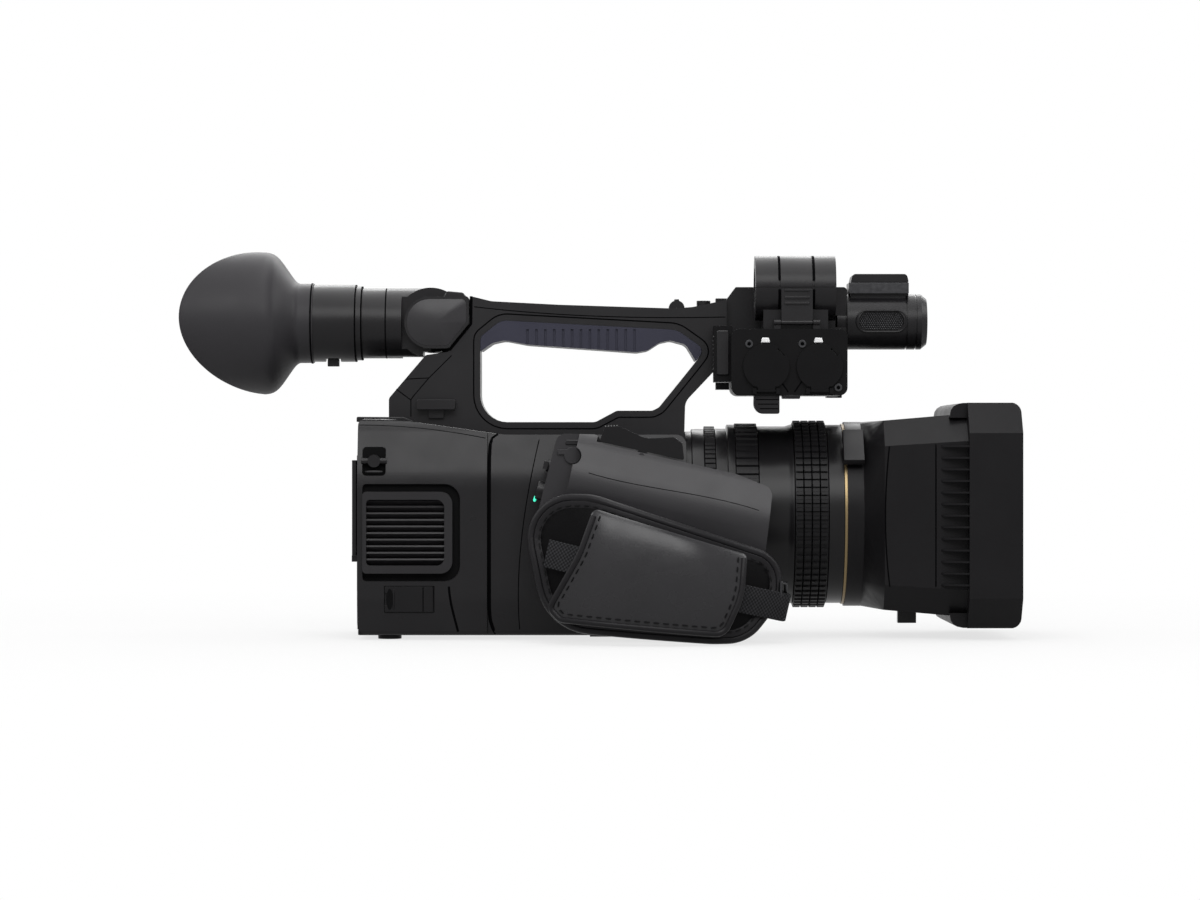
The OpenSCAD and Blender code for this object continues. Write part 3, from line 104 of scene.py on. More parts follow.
def rounded(corners, steps=8):
    """Outline with round corners: each corner [x, y, radius] becomes an arc that touches both its sides."""
    p = np.asarray(corners, float)
    at, r = p[:, :2], np.maximum(p[:, 2], 1e-3)[:, None]
    u = np.roll(at, 1, 0) - at
    w = np.roll(at, -1, 0) - at
    u /= np.linalg.norm(u, axis=1, keepdims=True)
    w /= np.linalg.norm(w, axis=1, keepdims=True)
    half = np.arccos(np.clip((u * w).sum(1, keepdims=True), -1, 1)) / 2
    middle = at + (u + w) / np.linalg.norm(u + w, axis=1, keepdims=True) * r / np.sin(half)
    start = at + u * r / np.tan(half) - middle
    side = np.where(u[:, :1] * w[:, 1:] - u[:, 1:] * w[:, :1] > 0, -1, 1)
    a = side * (math.pi - 2 * half) * np.linspace(0, 1, steps + 1)[None]
    x = start[:, :1] * np.cos(a) - start[:, 1:] * np.sin(a) + middle[:, :1]
    y = start[:, :1] * np.sin(a) + start[:, 1:] * np.cos(a) + middle[:, 1:]
    return np.stack([x, y], -1).reshape(-1, 2)


def box_outline(x_low, x_high, z_low, z_high, r):
    """Outline of an upright rectangle with one radius on its four corners."""
    return rounded([[x_low, z_low, r], [x_high, z_low, r], [x_high, z_high, r], [x_low, z_high, r]])


def run_length(line):
    """Length along a line from its start to each of its points."""
    return np.concatenate([[0], np.cumsum(np.linalg.norm(np.diff(line, axis=0), axis=1))])


def spaced(line, count, closed):
    """Count points at equal steps of length along a line; a closed line leaves out the repeated end."""
    line = np.vstack([line, line[:1]]) if closed else np.asarray(line, float)
    s = run_length(line)
    t = np.linspace(0, s[-1], count + 1)[:-1] if closed else np.linspace(0, s[-1], count)
    return np.stack([np.interp(t, s, line[:, k]) for k in range(line.shape[1])], -1)


def curve(points, count=48):
    """A smooth line near side-view points: each coordinate is a cubic fitted to them by running length."""
    p = np.asarray(points, float)
    s = run_length(p)
    fits = [np.polyfit(s, p[:, k], min(3, len(p) - 1)) for k in range(2)]
    t = np.linspace(0, s[-1], count)
    return np.stack([np.polyval(f, t) for f in fits], -1)


def at_side(xz, y):
    """Side-view points (x, z) set at depth y."""
    xz = np.asarray(xz, float)
    return np.stack([xz[..., 0], np.broadcast_to(y, xz.shape[:-1]), xz[..., 1]], -1)


def along(line, closed):
    """Unit direction of travel at each point: the next point less the one before."""
    d = np.roll(line, -1, 0) - np.roll(line, 1, 0) if closed else np.gradient(line, axis=0)
    return d / np.linalg.norm(d, axis=1, keepdims=True)


def inset(loop, depth):
    """A closed flat loop moved towards its inside by depth, at right angles to its direction of travel."""
    t = along(loop, True)
    normal = np.stack([t[:, 1], -t[:, 0]], -1)
    area = np.sum(loop[:, 0] * np.roll(loop[:, 1], -1) - np.roll(loop[:, 0], -1) * loop[:, 1])
    return loop + normal * depth * (1 if area < 0 else -1)


def carried(path, profile, ref, closed=False):
    """A profile carried along a path.

    Its first number goes across, at right angles to the path and ref, and its second along ref.
    """
    path = np.asarray(path, float)
    t = along(path, closed)
    across = np.cross(t, np.asarray(ref, float))
    across /= np.linalg.norm(across, axis=1, keepdims=True)
    up = np.cross(across, t)
    profile = np.asarray(profile, float)
    return path[:, None] + profile[None, :, :1] * across[:, None] + profile[None, :, 1:] * up[:, None]


def looped(name, path, profile, body, finish, ref=ACROSS):
    """A piece whose profile is carried round a closed path until it meets its own start."""
    piece(name, carried(path, profile, ref, True), body, finish, wrap=(True, True))


def circle(r, sides=12):
    """Points of a circle of radius r."""
    a = np.arange(sides) * TAU / sides
    return np.stack([r * np.cos(a), r * np.sin(a)], -1)


def slab(width, height, r, steps=3):
    """Outline of a rectangle about the origin with round corners."""
    w, h = width / 2, height / 2
    return rounded([[-w, -h, r], [w, -h, r], [w, h, r], [-w, h, r]], steps)


def turned(profile, centre, axis="x", sides=96):
    """A profile of (place along the axis, radius) turned a full circle about the axis through centre."""
    profile = np.asarray(profile, float)
    a = np.arange(sides) * TAU / sides
    s, r = profile[:, :1], profile[:, 1:]
    flat = {"x": (s + 0 * a, r * np.cos(a), r * np.sin(a)),
            "y": (r * np.sin(a), s + 0 * a, r * np.cos(a))}[axis]
    return np.stack(flat, -1) + np.asarray(centre, float)


def repeated(shape, origins, x_axes, y_axes, z_axes):
    """Copies of a grid shape: each point is origin + x along x_axes + y along y_axes + z along z_axes."""
    origins = np.asarray(origins, float)
    axes = [np.broadcast_to(np.asarray(v, float), origins.shape) for v in (x_axes, y_axes, z_axes)]
    return np.einsum("rck,nkd->nrcd", shape, np.stack(axes, 1)) + origins[:, None, None]


def pillow(length, width, height, rows=5, cols=6):
    """A small rounded bar along x: rings whose size follows half a circle from end to end."""
    a = np.linspace(0.12, math.pi - 0.12, rows)[:, None]
    b = np.arange(cols)[None] * TAU / cols
    swell = np.sin(a) ** 0.5
    return np.stack([-length / 2 * np.cos(a) + 0 * b, width / 2 * swell * np.cos(b),
                     height / 2 * swell * np.sin(b)], -1)


def plate(outline_xz, y_near, y_far, ease=0.4):
    """A plate with an outline in side view, from y_near to y_far, its near edge eased by a small slope."""
    loop = np.asarray(outline_xz, float)
    step = ease if y_far > y_near else -ease
    return np.stack([at_side(inset(loop, ease), y_near), at_side(loop, y_near + step), at_side(loop, y_far)])


def domed(outline_xz, y_foot, y_rim, rise, rings=9):
    """A low dome on an outline in side view: rings from its middle fall with the square of their share.

    A wall goes from its rim to y_foot.
    """
    loop = np.asarray(outline_xz, float)
    middle = (loop.min(0) + loop.max(0)) / 2
    share = np.linspace(0.02, 1, rings)[:, None]
    top = at_side(middle + share[..., None] * (loop - middle), y_rim + rise * (1 - share ** 2))
    return np.concatenate([top, at_side(loop, y_foot)[None]])


# Finishes, all on object coordinates or a piece's own map

class Finish:
    """A material's node tree with short calls for its nodes and links."""

    def __init__(self, name):
        self.material = bpy.data.materials.new(name)
        self.material.use_nodes = True
        self.tree = self.material.node_tree
        self.shader = self.tree.nodes["Principled BSDF"]
        self.place = self.tree.nodes.new("ShaderNodeTexCoord")

    def node(self, kind, inputs=(), **settings):
        """A shader node with its settings; an input takes a plain value or another node's socket."""
        made = self.tree.nodes.new("ShaderNode" + kind)
        for key, value in settings.items():
            setattr(made, key, value)
        for key, value in dict(inputs).items():
            if isinstance(value, bpy.types.NodeSocket):
                self.tree.links.new(value, made.inputs[key])
            else:
                made.inputs[key].default_value = value
        return made

    def noise(self, size_mm, detail, vector=None):
        """Noise whose patches are about size_mm across."""
        vector = vector or self.place.outputs["Object"]
        made = self.node("TexNoise", {"Vector": vector, "Scale": 1 / (size_mm * MM), "Detail": detail})
        return made.outputs["Fac"]

    def spread(self, value, low, high, start=0.3, end=0.7):
        """A value between start and end carried in a straight line to low and high, and held there."""
        return self.node("MapRange", {"Value": value, "From Min": start, "From Max": end, "To Min": low,
                                      "To Max": high}).outputs["Result"]

    def blend(self, factor, a, b):
        """Colour a where the factor is 0, colour b where it is 1."""
        return self.node("Mix", {"Factor": factor, 6: (*a, 1), 7: (*b, 1)}, data_type="RGBA").outputs[2]

    def math(self, operation, a, b=0.0):
        """One step of arithmetic on two values."""
        return self.node("Math", {0: a, 1: b}, operation=operation).outputs[0]

    def bump(self, height, depth_mm):
        """Surface direction tilted by a height that is depth_mm deep at 1."""
        made = self.node("Bump", {"Height": height, "Distance": depth_mm * MM, "Strength": 1.0})
        return made.outputs["Normal"]

    def set(self, **sockets):
        """Values or links for the shader's own sockets, their names with low lines for spaces."""
        for key, value in sockets.items():
            socket = self.shader.inputs[key.replace("_", " ")]
            if isinstance(value, bpy.types.NodeSocket):
                self.tree.links.new(value, socket)
            else:
                socket.default_value = (*value, 1) if isinstance(value, tuple) else value
        return self.material


def moulded(name, dark, light, rough, grain_mm, depth_mm, level=0.16, swing=0.05):
    """Moulded plastic: two close greys in soft patches, fine spark texture, roughness that drifts."""
    f = Finish(name)
    patches = f.noise(45, 3)
    return f.set(Base_Color=f.blend(f.spread(patches, 0, 1), dark, light),
                 Roughness=f.spread(f.noise(18, 3), rough - swing, rough + swing),
                 Specular_IOR_Level=level, Normal=f.bump(f.noise(grain_mm, 1), depth_mm))


def grained_leather(name, dark, light, rough, level, pebble_mm=1.1, depth_mm=0.05):
    """Leather: rounded pebbles from cells, finer creases between them, and satin wear in soft patches."""
    f = Finish(name)
    spot = f.place.outputs["Object"]
    cells = f.node("TexVoronoi", {"Vector": spot, "Scale": 1 / (pebble_mm * MM), "Randomness": 0.9})
    fine = f.noise(0.35, 2)
    height = f.math("ADD", f.math("MULTIPLY", cells.outputs["Distance"], -0.8), f.math("MULTIPLY", fine, 0.3))
    patches = f.noise(30, 3)
    return f.set(Base_Color=f.blend(f.spread(patches, 0, 1), dark, light),
                 Roughness=f.spread(f.noise(12, 4), rough - 0.06, rough + 0.06), Specular_IOR_Level=level,
                 Normal=f.bump(height, depth_mm))


def woven_tape(name, dark, light, pitch_mm):
    """Webbing: ribs along and across the piece's own map, one over the other, as light and dark threads."""
    f = Finish(name)
    split = f.node("SeparateXYZ", {"Vector": f.place.outputs["UV"]})
    turn = TAU / pitch_mm
    u = f.math("SINE", f.math("MULTIPLY", split.outputs[0], turn))
    v = f.math("SINE", f.math("MULTIPLY", split.outputs[1], turn))
    weave = f.math("MULTIPLY", u, v)
    shade = f.spread(weave, 0, 1, -0.6, 0.8)
    return f.set(Base_Color=f.blend(shade, dark, light), Roughness=f.spread(f.noise(6, 2), 0.62, 0.78),
                 Normal=f.bump(weave, 0.12), Specular_IOR_Level=0.12)


def metal(name, colour, rough, streak):
    """Metal: plain colour with fine streaks in its roughness."""
    f = Finish(name)
    stretched = f.node("Mapping", {"Vector": f.place.outputs["Object"], "Scale": streak}).outputs[0]
    scratch = f.noise(2.0, 4, stretched)
    bright = tuple(min(1, c * 1.25) for c in colour)
    return f.set(Base_Color=f.blend(f.spread(scratch, 0, 1), colour, bright),
                 Metallic=1.0, Roughness=f.spread(scratch, rough - 0.06, rough + 0.06),
                 Normal=f.bump(scratch, 0.01))


def coated_glass(name, tint, rough=0.03):
    """Coated glass: a dark tint that drifts slowly across it, under a thin coat that leans to blue."""
    f = Finish(name)
    drift = f.noise(30, 1)
    return f.set(Base_Color=f.blend(f.spread(drift, 0, 1), tint, tuple(0.7 * c for c in tint)),
                 Roughness=f.spread(drift, rough, rough + 0.02), IOR=1.6, Specular_IOR_Level=0.7,
                 Coat_Weight=0.6, Coat_Roughness=0.02, Coat_Tint=(0.6, 0.75, 1.0))


def lit_lamp(name):
    """Small lit lamp: even green glow, a little stronger in soft patches."""
    f = Finish(name)
    glow = f.spread(f.noise(3, 1), 0.8, 1.2)
    return f.set(Base_Color=(0.05, 0.6, 0.4), Emission_Color=(0.05, 0.75, 0.45), Emission_Strength=glow)


casing_black = moulded("casing_black", (0.0085, 0.0081, 0.0089), (0.0104, 0.0099, 0.0108),
                       0.32, 0.35, 0.014, 0.145)
handle_black = moulded("handle_black", (0.0096, 0.0092, 0.01), (0.0117, 0.0112, 0.0122),
                       0.32, 0.4, 0.014, 0.17)
barrel_black = moulded("barrel_black", (0.0055, 0.0053, 0.0057), (0.0067, 0.0064, 0.007),
                       0.29, 0.25, 0.007, 0.16, 0.015)
hood_black = moulded("hood_black", (0.0066, 0.0063, 0.0069), (0.0081, 0.0077, 0.0084),
                     0.38, 0.45, 0.018, 0.08)
grip_grey = moulded("grip_grey", (0.0185, 0.0177, 0.0193), (0.0226, 0.0216, 0.0236),
                    0.35, 0.5, 0.03, 0.2)
button_grey = moulded("button_grey", (0.0085, 0.0081, 0.0089), (0.0104, 0.0099, 0.0108),
                      0.32, 0.3, 0.01, 0.17)
panel_black = moulded("panel_black", (0.003, 0.0029, 0.0032), (0.0038, 0.0036, 0.004),
                      0.38, 0.35, 0.014, 0.07)
vent_grey = moulded("vent_grey", (0.014, 0.0134, 0.0146), (0.0171, 0.0163, 0.0178),
                    0.34, 0.3, 0.01, 0.17)
# Near black for inner parts, and also painted shade on the floors of recesses.
inner_black_and_painted_shade = moulded("inner_black_and_painted_shade", (0.0018, 0.0018, 0.002), (0.0026, 0.0026, 0.0028),
                      0.75, 0.6, 0.03, 0.06)
ring_rubber = moulded("ring_rubber", (0.006, 0.0057, 0.0063), (0.0073, 0.007, 0.0076),
                      0.4, 0.4, 0.014, 0.11)
cup_rubber = moulded("cup_rubber", (0.021, 0.0201, 0.0219), (0.0256, 0.0245, 0.0268),
                     0.46, 0.5, 0.014, 0.12)
pad_rubber = moulded("pad_rubber", (0.024, 0.024, 0.036), (0.03, 0.03, 0.044), 0.4, 0.4, 0.018, 0.12)
# Near black for parting lines and grooves, and also painted shade on the focus ring's gap floors.
seam_dark_and_painted_shade = moulded("seam_dark_and_painted_shade", (0.0006, 0.0006, 0.0008), (0.001, 0.001, 0.0012), 0.8, 0.5, 0.01, 0.02)
tab_white = moulded("tab_white", (0.62, 0.62, 0.62), (0.72, 0.72, 0.72), 0.4, 0.3, 0.01)
board_green = moulded("board_green", (0.012, 0.09, 0.035), (0.02, 0.12, 0.05), 0.45, 0.8, 0.02)
belt_leather = grained_leather("belt_leather", (0.0022, 0.0021, 0.0023), (0.0032, 0.0031, 0.0034),
                               0.42, 0.035)
flap_leather = grained_leather("flap_leather", (0.0145, 0.014, 0.0154), (0.0175, 0.0169, 0.0186),
                               0.27, 0.24, 1.3, 0.018)
piping_leather = grained_leather("piping_leather", (0.0095, 0.009, 0.01), (0.012, 0.0115, 0.0126),
                                 0.38, 0.1, 0.9, 0.03)
thread_black = woven_tape("thread_black", (0.0008, 0.0008, 0.001), (0.0022, 0.0022, 0.0025), 0.4)
tape_black = woven_tape("tape_black", (0.0015, 0.0015, 0.0018), (0.021, 0.021, 0.023), 2.1)
dark_steel = metal("dark_steel", (0.035, 0.035, 0.037), 0.34, (1, 12, 1))
bright_steel = metal("bright_steel", (0.45, 0.45, 0.46), 0.3, (1, 12, 1))
gold_line = metal("gold_line", (0.15, 0.112, 0.06), 0.38, (8, 1, 1))
lens_glass = coated_glass("lens_glass", (0.008, 0.010, 0.022))
screen_black = coated_glass("screen_black", (0.006, 0.006, 0.007), 0.08)
lamp_green = lit_lamp("lamp_green")


# The frame's own nodes: soft edges and finishes

FLAT_BELOW, SHARP_OVER, ROUND_OVER = (math.radians(turn) for turn in (0.6, 32, 34))


def smooth_group():
    """Geometry nodes: every face is smooth, and edges that turn by more than SHARP_OVER stay sharp."""
    group = bpy.data.node_groups.new("smooth_faces", "GeometryNodeTree")
    group.interface.new_socket("Geometry", in_out="INPUT", socket_type="NodeSocketGeometry")
    group.interface.new_socket("Geometry", in_out="OUTPUT", socket_type="NodeSocketGeometry")
    start = group.nodes.new("NodeGroupInput")
    end = group.nodes.new("NodeGroupOutput")
    faces = group.nodes.new("GeometryNodeSetShadeSmooth")
    edges = group.nodes.new("GeometryNodeSetShadeSmooth")
    edges.domain = "EDGE"
    edges.inputs["Shade Smooth"].default_value = False
    angle = group.nodes.new("GeometryNodeInputMeshEdgeAngle")
    over = group.nodes.new("FunctionNodeCompare")
    over.operation = "GREATER_THAN"
    over.inputs[1].default_value = SHARP_OVER
    link = group.links.new
    link(start.outputs[0], faces.inputs["Geometry"])
    link(faces.outputs[0], edges.inputs["Geometry"])
    link(angle.outputs["Unsigned Angle"], over.inputs[0])
    link(over.outputs[0], edges.inputs["Selection"])
    link(edges.outputs[0], end.inputs[0])
    return group


smooth_faces = smooth_group()


def dress(names, finish, edge_mm=0.4, segments=2):
    """Frame nodes: triangles joined, flat parts merged, sharp edges rounded by edge_mm, smooth shading."""
    for name in names.split():
        thing = nodes[name]
        if not thing.data.materials:
            thing.data.materials.append(finish)
        for holder in thing.material_slots:
            holder.material = finish
        weld = thing.modifiers.new("join", "WELD")
        weld.merge_threshold = 2e-6
        if edge_mm:
            flat = thing.modifiers.new("flat", "DECIMATE")
            flat.decimate_type = "DISSOLVE"
            flat.angle_limit = FLAT_BELOW
            edge = thing.modifiers.new("edge", "BEVEL")
            edge.width = edge_mm * MM
            edge.segments = segments
            edge.limit_method = "ANGLE"
            edge.angle_limit = ROUND_OVER
        shade = thing.modifiers.new("shade", "NODES")
        shade.node_group = smooth_faces
        weigh = thing.modifiers.new("weigh", "WEIGHTED_NORMAL")
        weigh.keep_sharp = True


dress("right_rear_cover right_mid_cover left_cover", casing_black, 0.8, 3)
dress("rear_panel base_plate front_block screen_panel built_in_microphone", casing_black, 0.5)
dress("connector_box", panel_black, 0.8, 3)
dress("handle_frame", handle_black, 2.4, 2)
dress("viewfinder_housing cable_clamp shoe_cover holder_base holder_cap", casing_black, 0.4)
dress("lens_barrel_rear lens_barrel_mid lens_barrel_front", barrel_black, 0.4)
dress("hood_shell", hood_black, 0.5)
dress("shutter_upper shutter_lower", inner_black_and_painted_shade, 0.3)
dress("grip_shell", grip_grey, 0.8, 3)
dress("zoom_rocker", ring_rubber, 0.6, 3)
dress("battery_pack card_door record_button power_switch strap_lug", button_grey, 0.4)
dress("handle_zoom_lever handle_record_button dioptre_lever hood_lock shutter_lever", button_grey, 0.3)
dress("connector_cap_1 connector_cap_2", panel_black, 0.5, 3)
dress("holder_latch connector_sockets", button_grey, 0.25)
dress("vent_grille", vent_grey, 0.25)
dress("fan_rotor fan_housing", inner_black_and_painted_shade, 0)
dress("remote_cap", grip_grey, 0.3)
dress("rubber_feet terminal_cover", ring_rubber, 0.3)
dress("iris_ring zoom_ring focus_ring", ring_rubber, 0)
dress("handle_grip_pad", pad_rubber, 0.5)
dress("tripod_plate accessory_shoe panel_screws", dark_steel, 0.2)
dress("sensor_block", bright_steel, 0)
dress("trim_ring", gold_line, 0)
dress("main_board", board_green, 0)
dress("eyepiece_lens lens_elements", lens_glass, 0.2)
dress("screen_glass", screen_black, 0.1)


# Eyecup

FINDER_Z = 162.0
CUP_NECK, CUP_NECK_R = -169.3, 20.6
CUP_LONG, CUP_SHORT, CUP_KNEE, CUP_R = 67.0, 26.0, 20.0, 37.0
CUP_LEAN = math.radians(4)
CUP_WALL, CUP_LIP_AT = 1.8, 1.98


def cup_point(angle, along_cup, depth):
    """Eyecup: angle runs round the tube from the near side, along_cup from neck (0) to knee (1) to rim (2).

    The rim's reach falls with the cosine of the angle from the long near side. The radius stays on the
    tube for the neck, then follows a straight cone to the knee and rounds off to the full radius. Depth
    moves a point inwards.
    """
    c = np.cos(angle - CUP_LEAN)
    reach = CUP_SHORT + (CUP_LONG - CUP_SHORT) * np.maximum(c, 0) ** 1.06 - 3 * np.maximum(-c, 0)
    d = np.minimum(along_cup, 1) * CUP_KNEE + np.maximum(along_cup - 1, 0) * (reach - CUP_KNEE)
    neck = [CUP_NECK_R, CUP_NECK_R + 0.5, CUP_NECK_R + 1.7]
    r = np.interp(d, [7.2, 8.4, 9.8, 11.4, 16, 18, 19.6, 21.2, 23, 25, 28],
                  neck + [24.4, 31.0, 33.5, 35.0, 36.0, 36.6, 36.9, CUP_R]) - depth
    return np.stack([CUP_NECK - d, -r * np.cos(angle), FINDER_Z + r * np.sin(angle)], -1)


def eyecup():
    """Outer skin from neck to rim, a round lip, and an inner skin back to the neck, as one closed sheet."""
    angle = (np.arange(120) * TAU / 120)[None]
    out = np.concatenate([np.linspace(0, 1, 34), np.linspace(1, CUP_LIP_AT, 20)[1:]])[:, None]
    lip = np.linspace(0, math.pi, 7)[1:-1, None]
    rise = np.concatenate([out, CUP_LIP_AT + 0.02 * np.sin(lip), out[::-1]])
    depth = np.concatenate([0 * out, CUP_WALL / 2 * (1 - np.cos(lip)), CUP_WALL + 0 * out])
    piece("eyecup_rubber", cup_point(angle, rise, depth), "viewfinder", cup_rubber,
          wrap=(True, True), sharp=60, stands_for=("eyecup",))
    groove = turned([[0.7, 20.7], [0.7, 20.9], [-0.1, 20.95], [-0.1, 20.7]], (CUP_NECK - 1.2, 0, FINDER_Z))
    piece("eyecup_groove", groove, "viewfinder", seam_dark_and_painted_shade, wrap=(True, True))


eyecup()


# Hand belt

BELT_OUT, BELT_BOW, BELT_MID, BELT_HALF, BELT_CROWN = 117.0, 24.0, 6.0, 62.0, 5.6
PAD_CORNERS = [[-61.8, 74.6, 22], [-24, 74.3, 30], [69.6, 43.1, 17], [69.6, 22.2, 20], [52.3, 0.6, 21],
               [34, 0.6, 60], [-47.6, 7, 28]]
FLAP_CORNERS = [[51.8, 44.6, 3], [50.2, 24, 40], [41, 4, 8], [-41, 11.2, 6], [-47.5, 18, 5],
                [-32, 45.5, 50], [-24, 67.5, 3]]
FLAP_SEWN_FROM, FLAP_SEWN_TO = [51.5, 42.6], [-24.6, 65.6]
PAD_T, FLAP_T, FLAP_OFF = 5.0, 2.4, 7.4
TAPE_T, TAPE_W, TAPE_REAR_W, TAPE_OFF = 1.3, 14.0, 15.0, 4.4
TAPE_SLOPE, TAPE_MID_Z = math.radians(13), 33
TAPE_FROM, TAPE_TO = -47, 67
TURN_X, TURN_IN, TURN_R, TURN_Z = 68.2, 5.9, 4, 18.1


def belt_face(xz, off):
    """The belt's middle surface at a side-view point, moved out by off: a bow along X, a crown across it."""
    x, z = xz[..., 0], xz[..., 1]
    middle = 42 - 0.17 * (x + 45)
    half = 32 - 0.07 * (x + 45)
    crown = BELT_CROWN * (1 - np.clip((z - middle) / half, -1, 1) ** 2)
    y = -(BELT_OUT - BELT_BOW * ((x - BELT_MID) / BELT_HALF) ** 2) - crown - off
    return np.stack([x, y, z], -1)


def padded_skin(corners, thick, off):
    """Rings from the middle of an outline to its edge and back: thick in the field, drawn in to the edge."""
    rim = spaced(rounded(corners), 200, True)
    middle = (rim.min(0) + rim.max(0)) / 2
    s = np.array([0.01, 0.2, 0.4, 0.58, 0.74, 0.86, 0.93, 0.97, 0.99, 1.0])
    scale = np.concatenate([s, s[-2::-1]])
    side = np.concatenate([np.ones(len(s)), -np.ones(len(s) - 1)])
    flat = middle + scale[:, None, None] * (rim[None] - middle)
    depth = side * thick / 2 * np.sqrt(np.clip(1 - scale ** 8, 0, 1))
    return belt_face(flat, off + depth[:, None])


def stitches(name, line, off, closed, length=3.0, pitch=4.5):
    """Thread along a side-view line: short rounded bars at equal steps, laid on the belt's face."""
    spots = spaced(line, max(int(run_length(line)[-1] / pitch), 2), closed)
    centre = belt_face(spots, off)
    t = along(centre, closed)
    out = np.cross(t, np.cross([0, -1.0, 0], t))
    out /= np.linalg.norm(out, axis=1, keepdims=True)
    threads = repeated(pillow(length, 0.75, 0.6), centre, t, np.cross(out, t), out)
    piece(name, threads, "camcorder", thread_black)


def hand_pad():
    """Crowned pad, piping round its edge, and a sewn band inside the piping."""
    pad = piece("belt_pad_skin", padded_skin(PAD_CORNERS, PAD_T, 0), "camcorder", belt_leather,
                sharp=70, stands_for=("belt_pad",))
    rim = spaced(rounded(PAD_CORNERS), 260, True)
    cord = belt_face(inset(rim, 2.0), 1.0)
    looped("belt_piping", cord, circle(2.2, 14), "camcorder", piping_leather)
    flange = belt_face(inset(rim, 5.0), 2.35)
    looped("belt_seam_band", flange, slab(3.6, 0.8, 0.3), "camcorder", piping_leather)
    stitches("belt_seam_thread", inset(rim, 5.6), 2.95, True)


def hand_flap():
    """Leather flap over the pad, with a roll and a seam along its sewn sides."""
    flap = piece("belt_flap_skin", padded_skin(FLAP_CORNERS, FLAP_T, FLAP_OFF), "camcorder", flap_leather,
                 sharp=70, stands_for=("belt_flap",))
    loop = spaced(rounded(FLAP_CORNERS), 240, True)
    start, stop = (np.argmin(np.linalg.norm(loop - at, axis=1)) for at in (FLAP_SEWN_FROM, FLAP_SEWN_TO))
    order = np.arange(start, start + (stop - start) % len(loop)) % len(loop)
    roll = belt_face(inset(loop, 1.5)[order], FLAP_OFF + 0.3)
    piece("belt_flap_roll", carried(roll, circle(1.7, 12), ACROSS), "camcorder", piping_leather)
    stitches("belt_flap_thread", inset(loop, 4.3)[order], FLAP_OFF + 1.35, False)


def tape_paths():
    """Middle lines of the webbing.

    The front one lies on the pad, turns round its front edge in an arc and goes straight into the grip.
    The rear one is a straight run that bows by half a sine.
    """
    x = np.linspace(TAPE_FROM, TAPE_TO, 40)
    top = belt_face(np.stack([x, TAPE_MID_Z - math.tan(TAPE_SLOPE) * (x - BELT_MID)], -1), TAPE_OFF)
    edge_y = top[-1, 1]
    bend = np.radians(np.linspace(-53, 39, 14))
    arc = np.stack([TURN_X + TURN_R * np.cos(bend), edge_y + TURN_IN + TURN_R * np.sin(bend),
                    np.full(14, TURN_Z)], -1)
    front = spaced(np.vstack([top, arc, [[49.9, edge_y + 34.8, 29.2]]]), 120, False)
    share = np.linspace(0, 1, 12)
    rear = np.stack([-46.6 - 1.2 * np.sin(share * math.pi), -97.0 + 22.6 * share, np.full(12, 46.2)], -1)
    return front, rear


def webbing():
    """Both tapes with a map along and across them, the ring at the turn, and the slot's rim in the grip."""
    front, rear = tape_paths()
    up = (math.sin(TAPE_SLOPE), 0, math.cos(TAPE_SLOPE))
    for name, path, width, stands_for in (("belt_tape", front, TAPE_W, ("belt_webbing",)),
                                          ("belt_tape_rear", rear, TAPE_REAR_W, ())):
        profile = slab(TAPE_T, width, 0.5)
        uv = np.stack(np.broadcast_arrays(run_length(path)[:, None], profile[None, :, 1]), -1)
        piece(name, carried(path, profile, up), "camcorder", tape_black, uv=uv,
              stands_for=stands_for)
    ring = np.array([[68.8, -104.4, 30.6], [71.6, -100.4, 30.2], [71.2, -97.6, 24.2], [68.6, -103.0, 23.6]])
    looped("belt_ring", spaced(ring, 48, True), circle(0.9, 10), "camcorder", dark_steel, (1, 0, 0))
    slot = spaced(box_outline(-81.2, -74.0, 17.6, 33.4, 2.4), 72, True)
    front_x = np.interp(slot[:, 1], [16, 19, 22, 26, 30, 40], [49.4, 54.4, 56.3, 57.3, 58.3, 60.6])
    rim = np.stack([front_x, slot[:, 0], slot[:, 1]], -1)
    looped("belt_slot_rim", rim, circle(1.2, 10), "camcorder", button_grey, (1, 0, 0))


hand_pad()
hand_flap()
webbing()


# Lines and small pieces

CASING_TOP, CASING_LOW = 113.0, 2.0
MID_REACH, REAR_REACH = 53.0, 55.0
GRIP_AT, GRIP_TURN = np.array([-26.0, 104.0]), math.radians(12.4)
HANDLE_SIDE = 16.0
BOX_FACE, TERMINAL_FACE, MOAT_FLOOR, POCKET_FLOOR = -52.0, -55.0, -52.58, -50.3
LENS_Z = 63.0
MIC_X, MIC_Z, MIC_R = 124.7, 162.8, 14.4
HOLDER_Y, HOLDER_Z, HOLDER_R = -33, 179, 16.5
DIAL_X, DIAL_Z, DIAL_R = 0.0, 64.0, 11.5


def casing_side(z, reach):
    """Y of the casing's right side at height z: its section's outline, read by height."""
    section = rounded([[2.5 - reach, CASING_LOW, 3], [-reach, 20, 30], [-reach, 82, 40],
                       [10 - reach, CASING_TOP, 12], [40, CASING_TOP, 12], [40, CASING_LOW, 3]])[:36]
    return np.interp(z, section[:, 1], section[:, 0])


def left_side(z):
    """Y of the casing's left side at height z, between heights where its slope changes."""
    return np.interp(z, [2, 5, 10, 18, 80, 90, 100, 106], [55, 55.92, 56.61, 57.9, 57.95, 56.19, 53.94, 52.3])


def grip_side(x, z):
    """Y of the grip at a side-view point: its section's outline, read by height in its sloping frame."""
    section = rounded([[-40, 10, 0], [-60, 10, 4], [-80, -2, 14], [-88, -22, 30], [-84, -70, 30],
                       [-72, -100, 10], [-40, -100, 0]])[18:54]
    height = (x - GRIP_AT[0]) * math.sin(GRIP_TURN) + (z - GRIP_AT[1]) * math.cos(GRIP_TURN)
    return np.interp(-height, -section[:, 1], section[:, 0])


